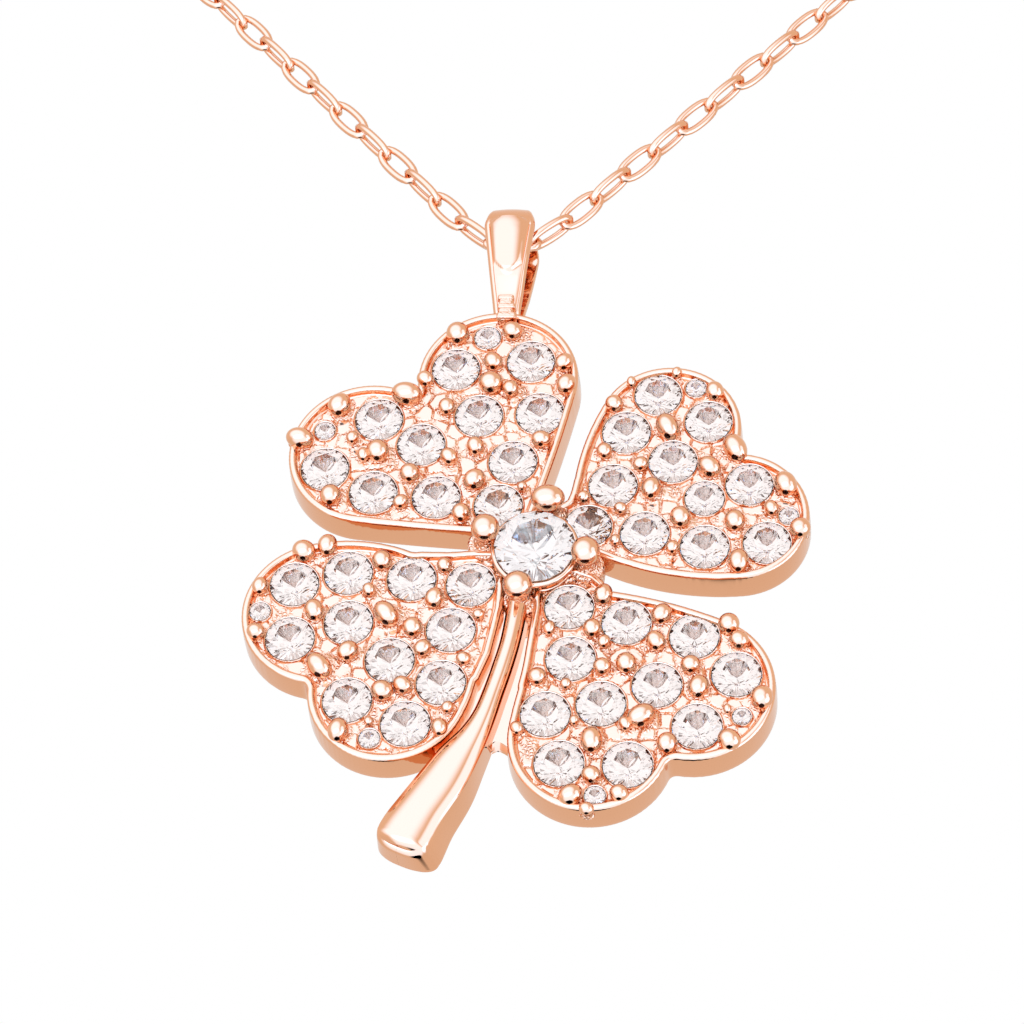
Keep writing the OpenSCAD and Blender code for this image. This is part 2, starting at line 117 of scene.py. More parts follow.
# Stones of a petal: distance along its axis, distance across, radius.
STONES = {
    "upper_left": ((2.1, 0.1, 0.76), (3.5, 1.55, 0.76), (3.2, -1.15, 0.76), (4.8, 3.1, 0.76),
                   (4.25, -2.85, 0.76), (6.45, 3.9, 0.76), (6.1, -3.7, 0.76), (7.05, 1.5, 0.76),
                   (7.25, -1.55, 0.76), (5.45, 0.9, 0.76), (5.3, -1.2, 0.76), (7.7, 3.15, 0.32),
                   (7.7, -3.05, 0.42)),
    "right": ((1.95, 0.3, 0.74), (3.4, 1.15, 0.76), (3.3, -0.9, 0.76), (4.8, 2.6, 0.76),
              (4.6, -2.35, 0.76), (6.4, 3.25, 0.74), (6.3, -3.3, 0.74), (7.2, 1.5, 0.74),
              (7, -1.2, 0.74), (5.45, 0.85, 0.76), (5.55, -0.85, 0.62), (7.55, 2.8, 0.32),
              (7.4, -2.85, 0.3)),
    "lower_right": ((2.3, -0.25, 0.76), (3.65, 1.05, 0.76), (3.95, -1.05, 0.76), (5.1, 2.65, 0.76),
                    (5.3, -2.6, 0.76), (6.9, 3.15, 0.76), (7, -3, 0.76), (7.9, 1.25, 0.76),
                    (8.05, -1.2, 0.76), (6.05, 0.85, 0.76), (5.8, -0.95, 0.76), (8.25, 2.6, 0.28),
                    (8.5, -2.55, 0.32)),
    "lower_left": ((2.2, 0.4, 0.76), (3.65, 1.3, 0.76), (3.5, -0.95, 0.76), (5, 2.6, 0.76),
                   (4.9, -2.4, 0.76), (6.7, 3.05, 0.76), (6.45, -3.15, 0.76), (7.6, 1.25, 0.76),
                   (7.7, -1.65, 0.76), (5.75, 0.95, 0.76), (5.95, -0.95, 0.76), (7.85, 2.75, 0.32),
                   (7.85, -3.05, 0.32)),
}

# Setting beads of a petal: distance along its axis, distance across, largest radius.
BEADS = {
    "upper_left": ((8.3, -2.3, 0.34), (7.35, -3.8, 0.29), (6.7, -2.65, 0.28), (5.35, -4.5, 0.27),
                   (4.6, -4.1, 0.3), (7.4, -0.5, 0.27), (6.05, -2.15, 0.35), (5.5, -2.55, 0.24),
                   (7.25, 0.3, 0.4), (6.1, -0.5, 0.26), (8.15, 2.3, 0.35), (7.8, 4, 0.36),
                   (6.85, 2.6, 0.19), (5.95, 2.2, 0.34), (6.1, 2.65, 0.2), (5.4, 4.3, 0.36),
                   (4.65, 1.8, 0.29), (4.45, 0.45, 0.26), (4.3, -0.45, 0.27), (3.3, -2.3, 0.27),
                   (3.25, 0.25, 0.32), (3.9, 2.6, 0.27), (2.45, 1.25, 0.29), (2.15, -0.85, 0.24)),
    "right": ((5.9, 4.05, 0.3), (5, 3.65, 0.32), (7.3, 3.55, 0.3), (7.05, 2.65, 0.29),
              (7.93, 2.28, 0.32), (5.95, 1.95, 0.38), (7.3, 0.1, 0.39), (3.8, 2.3, 0.24),
              (4.5, 1.25, 0.27), (6.25, -0.05, 0.33), (4.3, 0.3, 0.31), (3.1, 0.2, 0.29),
              (4.5, -1.1, 0.31), (5.85, -2.15, 0.31), (7.9, -1.9, 0.39), (7.05, -2.4, 0.31),
              (7.4, -3.5, 0.35), (5.15, -3.45, 0.33), (3.7, -1.9, 0.28), (2.35, -0.7, 0.26),
              (2.35, 1.2, 0.19)),
    "lower_right": ((2.5, 0.85, 0.29), (4, 2.1, 0.3), (5.3, 3.75, 0.3), (5.95, 3.75, 0.27),
                    (2.75, -1.15, 0.24), (3.4, 0, 0.27), (4, 0.1, 0.19), (4.75, 1.5, 0.29),
                    (6, 2.05, 0.31), (6.8, 1.9, 0.32), (4.1, -2.25, 0.26), (4.75, -1.6, 0.27),
                    (4.75, -0.35, 0.27), (5, 0.35, 0.3), (8.05, 3.4, 0.33), (7.9, 2.3, 0.34),
                    (8.85, 1.85, 0.37), (8.05, 0.15, 0.41), (6.85, -0.1, 0.37), (6.85, -0.65, 0.2),
                    (6, -1.95, 0.26), (6.85, -1.8, 0.35), (5.4, -3.6, 0.35), (7.9, -2.35, 0.3),
                    (8.2, -3.2, 0.32), (8.85, -3, 0.36), (8.85, -1.9, 0.36)),
    "lower_left": ((4.85, -3.55, 0.3), (5.55, -3.85, 0.33), (7.35, -3.7, 0.3), (8.4, -2.45, 0.31),
                   (7.6, -0.2, 0.38), (8.45, 2, 0.39), (7.9, 3.2, 0.31), (6, 3.9, 0.25),
                   (4, 2.45, 0.28), (5.4, 3.5, 0.23), (3.85, -2, 0.29), (2.45, -0.6, 0.28),
                   (4.8, -1.4, 0.29), (5.75, -2.05, 0.21), (7.5, -2.75, 0.21), (6.55, -1.9, 0.31),
                   (4.9, -0.35, 0.37), (3.4, 0.15, 0.29), (4.55, 0.55, 0.29), (4.75, 1.35, 0.25),
                   (2.7, 1.5, 0.22), (6.6, -0.05, 0.33), (6.6, 1.75, 0.31), (6, 2, 0.28),
                   (7.55, 2.35, 0.28)),
}
# A bead's gap to the stones, its least radius, the growth of its head, and its stalk's share of that.
BEAD_GAP = 0.05
SMALLEST_BEAD = 0.12
HEAD_GROWTH = 1.1
BEAD_STALK = 0.8
# Most that a bead is stretched, and the large beads at the petals' notches: least radius, stretch, turn.
BEAD_STRETCH = 0.1
NOTCH_BEAD = 0.39
NOTCH_STRETCH = 0.16
NOTCH_TURNS = {"upper_left": -10, "right": 120, "lower_right": 30, "lower_left": -45}

# The cut floor: pitch and rise of its cells, half width and depth of the creases between them, rise and
# reach of the mound at a bead, and the cone under a stone: its margin and its slope.
FLOOR_CELL = 0.5
CELL_RISE = 0.045
CREASE = 0.045
CREASE_DEPTH = 0.08
MOUND_RISE = 0.05
MOUND_REACH = 0.07
CONE_MARGIN = 0.04
CONE_SLOPE = 0.95
# Factors of the sine that scatters the cells' centres, and the margin and room of each in its square.
SCATTER = np.array([[127.1, 269.5], [311.7, 183.3]])
SCATTER_FACTOR = 43758.5
CELL_MARGIN = 0.12
CELL_ROOM = 0.76

# A stone's seat: play round the stone, slope of its cone, and the drilled hole behind it: largest radius
# and share of the stone's radius.
SEAT_PLAY = 0.02
SEAT_SLOPE = 0.88
HOLE_R = 0.27
HOLE_SHARE = 0.55

# Stem stations from the clover's centre: across, up, width of the front, spread of the walls behind it.
STEM = ((-0.36, -1.5, 0.68, 0), (-0.42, -2.2, 0.66, 0), (-0.56, -3.2, 0.64, 0), (-0.76, -4.1, 0.66, 0),
        (-1, -5, 0.68, 0), (-1.24, -5.8, 0.75, 0), (-1.56, -6.53, 0.95, 0.03), (-2.01, -7.29, 1.28, 0.1),
        (-2.42, -8.02, 1.44, 0.18), (-2.96, -8.89, 1.51, 0.26), (-3.29, -9.47, 1.6, 0.33),
        (-3.44, -9.77, 1.62, 0.35), (-3.51, -9.93, 1.6, 0.35))
# Level of the front's edges, depth of the side walls, and rise of the ridge between the edges.
STEM_EDGE = -0.5
STEM_SIDE = 1.1
STEM_CROWN = 0.3

# Bail: outer radius, thickness, width at the top and at the foot, bevel, top of the domed field, drop.
BAIL_R = 1.2
BAIL_T = 0.32
BAIL_TOP_W = 1.94
BAIL_FOOT_W = 0.8
BAIL_BEVEL = 0.14
BAIL_FIELD_TOP = 0.3
BAIL_DROP = 3.2

# The lug at the bail's foot: middle and half size of the post, then of its three ribs.
LUG_BLOCKS = (((0, -0.62, -3.0), (0.24, 0.24, 0.5)), ((-0.02, -0.68, -2.62), (0.27, 0.2, 0.09)),
              ((0.02, -0.7, -2.98), (0.3, 0.2, 0.1)), ((0.03, -0.7, -3.34), (0.33, 0.2, 0.13)))

# The loop of chain: lean back about the nape, half angle between the runs, radius of the bend in the
# bail, length all round, and the clasp that closes it.
LEAN = math.radians(8)
SPREAD = math.radians(40.4)
BEND_R = 1.8
CHAIN_LENGTH = 450.0
CLASP_L = 9.0
CLASP_W = 3.4
CLASP_T = 1.6
CLASP_GAP = 0.05
# Links: pitch, turn of all but the lowest about their own length, and how far each second link stays
# short of the quarter turn that it has more.
LINK_PITCH = 1.44
LINK_ROLL = math.radians(24)
LINK_TILT = math.radians(28)

# Metal: share of each channel that the deep colour keeps; how much grain, cuts and drift bring it out.
DEEP_METAL = (0.86, 0.62, 0.45)
GRAIN_DEEPENS = 0.02
CUT_DEEPENS = 0.3
DRIFT_DEEPENS = 0.2
# Scales of drift, scratches and the grain's cells, what they add to roughness and height, and the bump.
DRIFT_SCALE = 180
SCRATCH_SCALE = 2600
GRAIN_SCALE = 7500
SCRATCH_ROUGHENS = 0.03
GRAIN_ROUGHENS = 0.05
SCRATCH_HEIGHT = 0.03
BUMP_STRENGTH = 0.9
BUMP_DEPTH = 0.00003
# Colours of the cut cones under the stones and of the painted shade (near-black spots painted under the
# heads of beads and prongs in place of a dark reflection, and dark streaks painted down the cut cones),
# and the mask's edge where it begins.
SEAT_COLOUR = (0.87, 0.82, 0.81)
COOL_SEAT_COLOUR = (0.76, 0.8, 0.83)
PAINTED_SHADE_COLOUR = (0.03, 0.008, 0.004, 1)
PAINTED_SHADE_EDGE = (0.44, 0.56)
# Crystal: refraction, tint of its glints, scale of its cloud and the second colour of each kind.
CRYSTAL_IOR = 1.8
CRYSTAL_GLINT = (1.0, 0.38, 0.18, 1)
TINT_SCALE = 400
PAVE_TINT = (0.97, 0.95, 0.95)
CENTRE_TINT = (0.93, 0.96, 0.99)

# The floor, in metres: its width and height, the scale of its mottling and its two greys.
FLOOR_WIDTH = 5.0
FLOOR_HEIGHT = -0.65
MOTTLE_SCALE = 6
FLOOR_GREYS = (0.86, 0.9)

# Soft round lights and dark cards: azimuth, elevation, inner and outer half angle, brightness.
METAL_LIGHTS = ((-22, 2, 34, 66, 1.1), (-2, -66, 32, 64, 1.0), (62, -3, 11, 22, 1.0),
                (86, -28, 15, 29, 1.5))
METAL_CARDS = ((183, -60, 14, 24, -0.98), (180, -31, 50, 85, -0.08))
STONE_CARDS = ((6, -31, 6, 10, -0.35), (-75, -25, 6, 10, -0.7), (75, -40, 6, 10, -0.7),
               (0, -82, 7, 11, -0.7), (-45, 12, 10, 14, -0.15), (38, -8, 10, 14, -0.15),
               (150, -20, 12, 18, -0.6), (-140, 20, 15, 25, -0.5))
# Small dark flags all round the stones: their number, edge and darkness, and the veil that thins them.
FLAG_SCALE = 6.0
FLAG_SIZE = (0.25, 0.3)
FLAG_DARK = 0.95
FLAG_VEIL = ((0, -3, 30, 50, 0.75),)
# Level of the studio for metal and for stones, colour of the stones' light and of the metal's lights.
METAL_AMBIENT = 0.92
STONE_AMBIENT = 1.0
STONE_COLOUR = (1.13, 1.0, 0.97)
KEY_COLOUR = (0.45, 1.2, 2.6)

# The camera: its sensor and lens, the rows of its rotation and its place in millimetres.
SENSOR_WIDTH = 36
LENS = 129.375
CAMERA_TURN = ((0.996195, 0.0, 0.087156), (0.074312, -0.522499, -0.849396),
               (0.045539, 0.852640, -0.520510))
CAMERA_PLACE = (10.62472, -121.95224, -234.58412)


class CloverSizes(bpy.types.PropertyGroup):
    """Sizes of the pendant's small work and of the links."""

    rim_width: bpy.props.FloatProperty(
        name="Rim width", description="Width of the raised rim round each petal",
        default=0.26 * MM, min=0.2 * MM, max=0.4 * MM, subtype="DISTANCE", unit="LENGTH", precision=6)
    rim_round: bpy.props.FloatProperty(
        name="Rim rounding", description="Radius of the rim's front edge",
        default=0.13 * MM, min=0.05 * MM, max=0.2 * MM, subtype="DISTANCE", unit="LENGTH", precision=6)
    link_length: bpy.props.FloatProperty(
        name="Link length", description="Outer length of a chain link",
        default=2 * MM, min=1.7 * MM, max=2.1 * MM, subtype="DISTANCE", unit="LENGTH", precision=6)
    link_width: bpy.props.FloatProperty(
        name="Link width", description="Outer width of a chain link",
        default=0.86 * MM, min=0.7 * MM, max=1.0 * MM, subtype="DISTANCE", unit="LENGTH", precision=6)
    link_wire: bpy.props.FloatProperty(
        name="Link wire", description="Thickness of the chain's wire",
        default=0.245 * MM, min=0.15 * MM, max=0.3 * MM, subtype="DISTANCE", unit="LENGTH", precision=6)


class CloverFinish(bpy.types.PropertyGroup):
    """Colours and polish of the metal and the stones."""

    gold: bpy.props.FloatVectorProperty(
        name="Rose gold", description="Colour of the pendant's polished metal",
        default=(0.87, 0.45, 0.25), min=0, max=1, size=3, subtype="COLOR")
    chain_gold: bpy.props.FloatVectorProperty(
        name="Chain gold", description="Colour of the chain's metal",
        default=(0.87, 0.44, 0.24), min=0, max=1, size=3, subtype="COLOR")
    polish: bpy.props.FloatProperty(
        name="Polish", description="Roughness of the polished metal",
        default=0.06, min=0, max=0.5, subtype="FACTOR")
    crystal: bpy.props.FloatVectorProperty(
        name="Crystal", description="Colour of the pave stones",
        default=(0.99, 0.985, 0.985), min=0, max=1, size=3, subtype="COLOR")
    centre_crystal: bpy.props.FloatVectorProperty(
        name="Centre crystal", description="Colour of the centre stone",
        default=(0.97, 0.985, 1.0), min=0, max=1, size=3, subtype="COLOR")
    studio: bpy.props.FloatProperty(
        name="Studio light", description="Brightness of the studio's light",
        default=1.0, min=0, max=10)


def grid_quads(rows, columns, loop_rows):
    """Corner numbers of a grid's quads: columns always join up in a loop, rows where loop_rows says so."""
    row = np.arange(rows if loop_rows else rows - 1)[:, None]
    column = np.arange(columns)[None, :]
    after = (row + 1) % rows
    beside = (column + 1) % columns
    corners = [row * columns + column, row * columns + beside,
               after * columns + beside, after * columns + column]
    return np.stack(np.broadcast_arrays(*corners), axis=-1).reshape(-1, 4)


def skin(rings, closed_rows=False):
    """Points, quads and triangles of stacked rings (..., rings, around, 3).

    Neighbouring rings are joined by quads. Unless the rings close on themselves, the first and
    last ring are closed by a fan to their middle.
    """
    rings = rings.reshape((-1,) + rings.shape[-3:])
    count, rows, around, _ = rings.shape
    quads = grid_quads(rows, around, closed_rows)
    if closed_rows:
        size = rows * around
        points = rings.reshape(count, size, 3)
        triangles = np.zeros((0, 3), int)
    else:
        size = rows * around + 2
        middles = np.stack([rings[:, 0].mean(axis=1), rings[:, -1].mean(axis=1)], axis=1)
        points = np.concatenate([rings.reshape(count, rows * around, 3), middles], axis=1)
        here = np.arange(around)
        beside = (here + 1) % around
        last = (rows - 1) * around
        first_fan = np.stack([beside, here, np.full(around, size - 2)], axis=1)
        last_fan = np.stack([last + here, last + beside, np.full(around, size - 1)], axis=1)
        triangles = np.concatenate([first_fan, last_fan])
    steps = (np.arange(count) * size)[:, None, None]
    return points.reshape(-1, 3), (quads + steps).reshape(-1, 4), (triangles + steps).reshape(-1, 3)


def join_skins(skins):
    """Several skins as one: the points one after the other, the faces renumbered."""
    starts = np.cumsum([0] + [len(s[0]) for s in skins[:-1]])
    points = np.concatenate([s[0] for s in skins])
    quads = np.concatenate([s[1] + n for s, n in zip(skins, starts)])
    triangles = np.concatenate([s[2] + n for s, n in zip(skins, starts)])
    return points, quads, triangles


def facing_out(part):
    """The same skin with its faces turned outwards: its volume, summed over triangles, is positive."""
    points, quads, triangles = part
    p = points - points.mean(axis=0)
    thirds = np.concatenate([quads[:, [0, 1, 2]], quads[:, [0, 2, 3]], triangles])
    volume = np.einsum("ij,ij->i", p[thirds[:, 0]], np.cross(p[thirds[:, 1]], p[thirds[:, 2]])).sum()
    if volume < 0:
        return points, quads[:, ::-1], triangles[:, ::-1]
    return part


def add_piece(name, part, origin, material, body, sharp=40, masks=None, replaces=()):
    """A finished object from a skin in millimetres about origin, on its body, with its named masks."""
    points, quads, triangles = part
    mesh = bpy.data.meshes.new(name)
    corners = np.concatenate([quads.ravel(), triangles.ravel()]).astype(np.int32)
    sizes = np.concatenate([np.full(len(quads), 4), np.full(len(triangles), 3)])
    starts = np.concatenate([[0], np.cumsum(sizes)[:-1]]).astype(np.int32)
    mesh.vertices.add(len(points))
    mesh.vertices.foreach_set("co", ((points + origin) * MM).astype(np.float32).ravel())
    mesh.loops.add(len(corners))
    mesh.loops.foreach_set("vertex_index", corners)
    mesh.polygons.add(len(sizes))
    mesh.polygons.foreach_set("loop_start", starts)
    mesh.polygons.foreach_set("use_smooth", np.ones(len(sizes), bool))
    for mask, share in (masks or {}).items():
        values = mesh.attributes.new(mask, "FLOAT", "POINT")
        values.data.foreach_set("value", share.astype(np.float32))
    mesh.update(calc_edges=True)
    mesh.set_sharp_from_angle(angle=math.radians(sharp))
    mesh.materials.append(material)
    piece = bpy.data.objects.new(name, mesh)
    bpy.context.scene.collection.objects.link(piece)
    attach(piece, body)
    if replaces:
        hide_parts(*replaces)


def revolve(profile, places, around=32, squeeze=None):
    """Rings of a profile (radius, level) turned about an axis along Y through each place (across, up).

    profile is (points, 2) for all places or (places, points, 2); squeeze is (places, 2, 2), a flat
    stretch of each place's rings.
    """
    places = np.atleast_2d(places)
    profile = np.broadcast_to(profile, (len(places),) + np.shape(profile)[-2:])
    turn = np.linspace(0, 2 * np.pi, around, endpoint=False)
    spoke = np.stack([np.cos(turn), np.sin(turn)], axis=-1)
    flat = profile[:, :, None, :1] * spoke
    if squeeze is not None:
        flat = np.einsum("pij,prcj->prci", squeeze, flat)
    level = np.broadcast_to(profile[:, :, None, 1], flat.shape[:-1])
    return np.stack([flat[..., 0] + places[:, None, None, 0], level,
                     flat[..., 1] + places[:, None, None, 1]], axis=-1)


def arc(centre, radius, first, last, steps):
    """Points of a flat arc, angles in degrees."""
    turn = np.radians(np.linspace(first, last, steps))
    return np.stack([centre[0] + radius * np.cos(turn), centre[1] + radius * np.sin(turn)], axis=-1)


def lift(flat, level):
    """Flat places (across, up) in space at a level through the thickness."""
    return np.stack([flat[..., 0], np.broadcast_to(level, flat.shape[:-1]), flat[..., 1]], axis=-1)


def even_line(line, count, start=0.0):
    """Evenly spaced points along a closed flat line, the first at start steps."""
    loop = np.concatenate([line, line[:1]])
    length = np.concatenate([[0], np.cumsum(np.linalg.norm(np.diff(loop, axis=0), axis=1))])
    even = (np.arange(count) + start) * (length[-1] / count)
    return np.stack([np.interp(even, length, loop[:, k]) for k in (0, 1)], axis=-1)


def smoothed(line, share, passes):
    """A closed flat line whose points keep their share of themselves, the rest from both neighbours."""
    for _ in range(passes):
        line = share * line + (1 - share) / 2 * (np.roll(line, 1, axis=0) + np.roll(line, -1, axis=0))
    return line


def headings(line):
    """Unit vectors along a closed flat line, from each point's neighbour behind to the one ahead."""
    heading = np.roll(line, -1, axis=0) - np.roll(line, 1, axis=0)
    return heading / np.linalg.norm(heading, axis=1, keepdims=True)


def petal_axes(name):
    """Unit vectors along and across a petal, as (across, up) pairs, and its side offset."""
    turn = math.radians(PETALS[name][0])
    return (np.array([math.cos(turn), math.sin(turn)]), np.array([-math.sin(turn), math.cos(turn)]),
            PETALS[name][1])


def petal_places(name, table):
    """Places (across, up) of a petal's [along, across] table."""
    along, side, offset = petal_axes(name)
    rows = np.array(table, float)
    return rows[:, :1] * along + (rows[:, 1:2] + offset) * side


def polygon_depth(points, corners):
    """Signed distance to a polygon, negative inside: nearest edge, sign by crossings."""
    corners = np.array(corners, float)
    following = np.roll(corners, -1, axis=0)
    span = following - corners
    away = points[..., None, :] - corners
    share = np.clip((away * span).sum(-1) / (span ** 2).sum(-1), 0, 1)
    distance = np.linalg.norm(away - share[..., None] * span, axis=-1).min(axis=-1)
    above = corners[:, 1] > points[..., None, 1]
    crosses = above != (following[:, 1] > points[..., None, 1])
    rise = np.where(span[:, 1] == 0, 1, span[:, 1])
    meets = corners[:, 0] + (points[..., None, 1] - corners[:, 1]) * span[:, 0] / rise
    inside = (crosses & (points[..., None, 0] < meets)).sum(-1) % 2 == 1
    return np.where(inside, -distance, distance)


def blend_low(a, b, reach):
    """The lower of two distances, rounded where they cross within reach."""
    share = np.clip(0.5 + 0.5 * (b - a) / reach, 0, 1)
    return b + (a - b) * share - reach * share * (1 - share)


def petal_depth(name, points):
    """Signed distance to a petal's outline: two lobes, two side arcs that meet, and the root."""
    _, _, lobe_u, lobe_v, lobe_r, turn, side_r = PETALS[name]
    along, side, offset = petal_axes(name)
    u = points @ along
    v = points @ side - offset
    lean = math.radians(turn)
    side_u = lobe_u - (side_r - lobe_r) * math.cos(lean)
    side_v = lobe_v - (side_r - lobe_r) * math.sin(lean)
    side_end = lobe_u + lobe_r * math.cos(lean)
    lobes = blend_low(np.hypot(u - lobe_u, v - lobe_v) - lobe_r,
                      np.hypot(u - lobe_u, v + lobe_v) - lobe_r, LOBE_BLEND)
    sides = np.maximum(np.hypot(u - side_u, v - side_v), np.hypot(u - side_u, v + side_v)) - side_r
    wedge = np.maximum(sides, u - side_end)
    fill = np.maximum(np.maximum(side_end - u - 0.05, u - lobe_u), np.abs(v) - lobe_v)
    depth = np.minimum(np.minimum(lobes, wedge), fill)
    if name in ROOTS:
        depth = blend_low(depth, polygon_depth(points, ROOTS[name]), ROOT_BLEND)
    return np.maximum(depth, HUB_CLEAR - np.linalg.norm(points - HUB, axis=-1))


def ray_edge(depth, middle, spokes, reach, marches=240, halvings=14):
    """Where straight spokes from the middle first leave a shape: a march, then halving."""
    steps = np.linspace(0.02, reach, marches)
    along = depth(middle + spokes[:, None, :] * steps[None, :, None])
    first = np.argmax(along > 0, axis=1)
    low = steps[np.maximum(first - 1, 0)]
    high = steps[first]
    for _ in range(halvings):
        half = (low + high) / 2
        outside = depth(middle + spokes * half[:, None]) > 0
        high = np.where(outside, half, high)
        low = np.where(outside, low, half)
    return middle + spokes * low[:, None]


def even_edge(depth, middle, reach, count, spokes=1600):
    """An outline of evenly spaced points round the middle, and the dense smoothed one that it follows."""
    turn = np.linspace(0, 2 * np.pi, spokes, endpoint=False)
    dense = ray_edge(depth, middle, np.stack([np.cos(turn), np.sin(turn)], axis=-1), reach)
    dense = smoothed(dense, 0.5, 12)
    return even_line(dense, count), dense


def inset_rings(edge, dense, middle, insets, marches=48):
    """Rings at set distances in from a dense outline, each point on the line from edge to middle."""
    inward = middle - edge
    reach = np.linalg.norm(inward, axis=1, keepdims=True)
    steps = np.linspace(0, min(1.0, reach.min() * 0.9), marches)
    inner = edge + inward / reach * steps[:, None, None]
    near = np.stack([np.linalg.norm(ring[:, None] - dense[None], axis=-1).min(axis=1) for ring in inner])
    near = np.maximum.accumulate(near - near[:1], axis=0)
    rings = []
    for inset in insets:
        first = np.clip(np.argmax(near >= inset, axis=0), 1, len(steps) - 1)
        low = np.take_along_axis(near, (first - 1)[None], 0)[0]
        high = np.take_along_axis(near, first[None], 0)[0]
        share = np.clip((inset - low) / np.maximum(high - low, 1e-6), 0, 1)
        travel = steps[first - 1] + share * (steps[first] - steps[first - 1])
        rings.append(edge + inward / reach * travel[:, None])
    return np.stack(rings)


def rim_profile(width, rounding):
    """Inset and level of the rings from the back edge, up the wall, over the rim, down to the floor."""
    back_round = 0.1
    inner_round = 0.08
    foot_round = 0.06
    lean = 0.035
    back = arc((back_round, BACK - back_round), back_round, 90, 180, 5)
    share = np.linspace(0, 1, 9)[1:]
    rise = RIM + rounding - BACK + back_round
    wall = np.stack([lean * share ** 2, BACK - back_round + rise * share], axis=-1)
    front = arc((lean + rounding, RIM + rounding), rounding, 180, 270, 9)[1:]
    inner = arc((width - inner_round, RIM + inner_round), inner_round, 270, 360, 6)
    foot = arc((width + foot_round, FLOOR - foot_round), foot_round, 180, 90, 4)
    return np.concatenate([back, wall, front, inner, foot])


def crease_gap(points, pitch):
    """Half the difference between the distances to the two nearest cell centres.

    It is zero on the crease between two cells. Each square of a grid has one centre, which a sine
    with a large factor scatters over the square's middle.
    """
    square = np.floor(points / pitch)
    nearest = np.full(len(points), 9.0)
    second = nearest.copy()
    for across in (-1, 0, 1):
        for up in (-1, 0, 1):
            corner = square + [across, up]
            scatter = (np.sin(corner @ SCATTER) * SCATTER_FACTOR) % 1
            away = np.linalg.norm(points - (corner + CELL_MARGIN + CELL_ROOM * scatter) * pitch, axis=1)
            second = np.minimum(second, np.maximum(nearest, away))
            nearest = np.minimum(nearest, away)
    return (second - nearest) / 2


def near_bead(points, x, z, r):
    """One on a bead, falling smoothly to nothing round it."""
    away = np.hypot(points[:, 0] - x, points[:, 1] - z)
    return np.exp(-(np.maximum(away - r, 0) / MOUND_REACH) ** 2)


def floor_level(points, stones, beads):
    """Level of the stone floor: cut cells with creases, a mound at each bead, a cone under each stone."""
    crease = np.clip(1 - crease_gap(points, FLOOR_CELL) / CREASE, 0, 1)
    fade = np.clip(0.55 + 0.8 * np.sin(5.3 * points[:, 0] + 1.1) * np.sin(4.7 * points[:, 1]), 0.1, 1)
    level = FLOOR - CELL_RISE + CREASE_DEPTH * fade * crease ** 1.5
    for x, z, r in beads:
        level -= MOUND_RISE * near_bead(points, x, z, r)
    for x, z, r in stones:
        away = np.hypot(points[:, 0] - x, points[:, 1] - z)
        cone = FLOOR + (r + CONE_MARGIN - away) * CONE_SLOPE
        level = np.where(away < r + CONE_MARGIN, np.maximum(cone, FLOOR), level)
    return level


def floor_grain(points, beads):
    """Share of rough cut on the floor: along the creases, in a few patches and close round each bead."""
    across = points[:, 0]
    patch = np.sin(3.1 * across + 0.5) * np.sin(2.7 * points[:, 1] + 1.2) + 0.3 * np.sin(9 * across)
    share = 0.7 * np.clip(1.2 - crease_gap(points, FLOOR_CELL) / CREASE, 0, 1)
    share = np.maximum(share, 0.8 * np.clip(3 * patch - 1.6, 0, 1))
    for x, z, r in beads:
        share = np.maximum(share, 0.9 * near_bead(points, x, z, r))
    return share


def seat_hole(r):
    """Radius of the drilled hole behind a stone of radius r."""
    return np.minimum(HOLE_R, HOLE_SHARE * r)


def back_level(points, stones):
    """Level of the back: flat with a shallow pit at each drilled seat."""
    pit_margin = 0.08
    pit_depth = 0.14
    level = np.full(len(points), BACK)
    for x, z, r in stones:
        away = np.hypot(points[:, 0] - x, points[:, 1] - z)
        level = np.where(away < seat_hole(r) + pit_margin, BACK - pit_depth, level)
    return level


def stone_rows(name):
    """Place (across, up) and radius of each stone of a petal."""
    return np.concatenate([petal_places(name, STONES[name]), np.array(STONES[name])[:, 2:]], axis=1)


def petal_skin(name, sizes):
    """One petal plate: back, wall, rim and floor as rings round its middle, and its share of grain."""
    along, side, offset = petal_axes(name)
    middle = along * PETAL_MIDDLE + side * offset
    edge, dense = even_edge(lambda p: petal_depth(name, p), middle, PETAL_REACH, EDGE_POINTS)
    profile = rim_profile(sizes.rim_width / MM, sizes.rim_round / MM)
    flat = inset_rings(edge, dense, middle, profile[:, 0])
    stones = stone_rows(name)
    beads = bead_rows(name)

    def disc(ring, count, level):
        """Rings from a ring nearly to the middle, each at the level that its points have."""
        nearly = 0.995
        share = np.linspace(0, 1, count + 1)[1:, None, None]
        inner = ring + (middle - ring) * share * nearly
        return lift(inner, level(inner.reshape(-1, 2)).reshape(inner.shape[:-1]))

    rim = lift(flat, profile[:, 1:])
    front = disc(flat[-1], FLOOR_RINGS, lambda p: floor_level(p, stones, beads))
    back = disc(flat[0], BACK_RINGS, lambda p: back_level(p, stones))[::-1]
    rings = np.concatenate([back, rim, front])
    plain = np.zeros((len(back) + len(rim)) * rings.shape[1])
    grain = np.concatenate([plain, floor_grain(front[..., [0, 2]].reshape(-1, 2), beads), [0, 0]])
    return skin(rings), grain


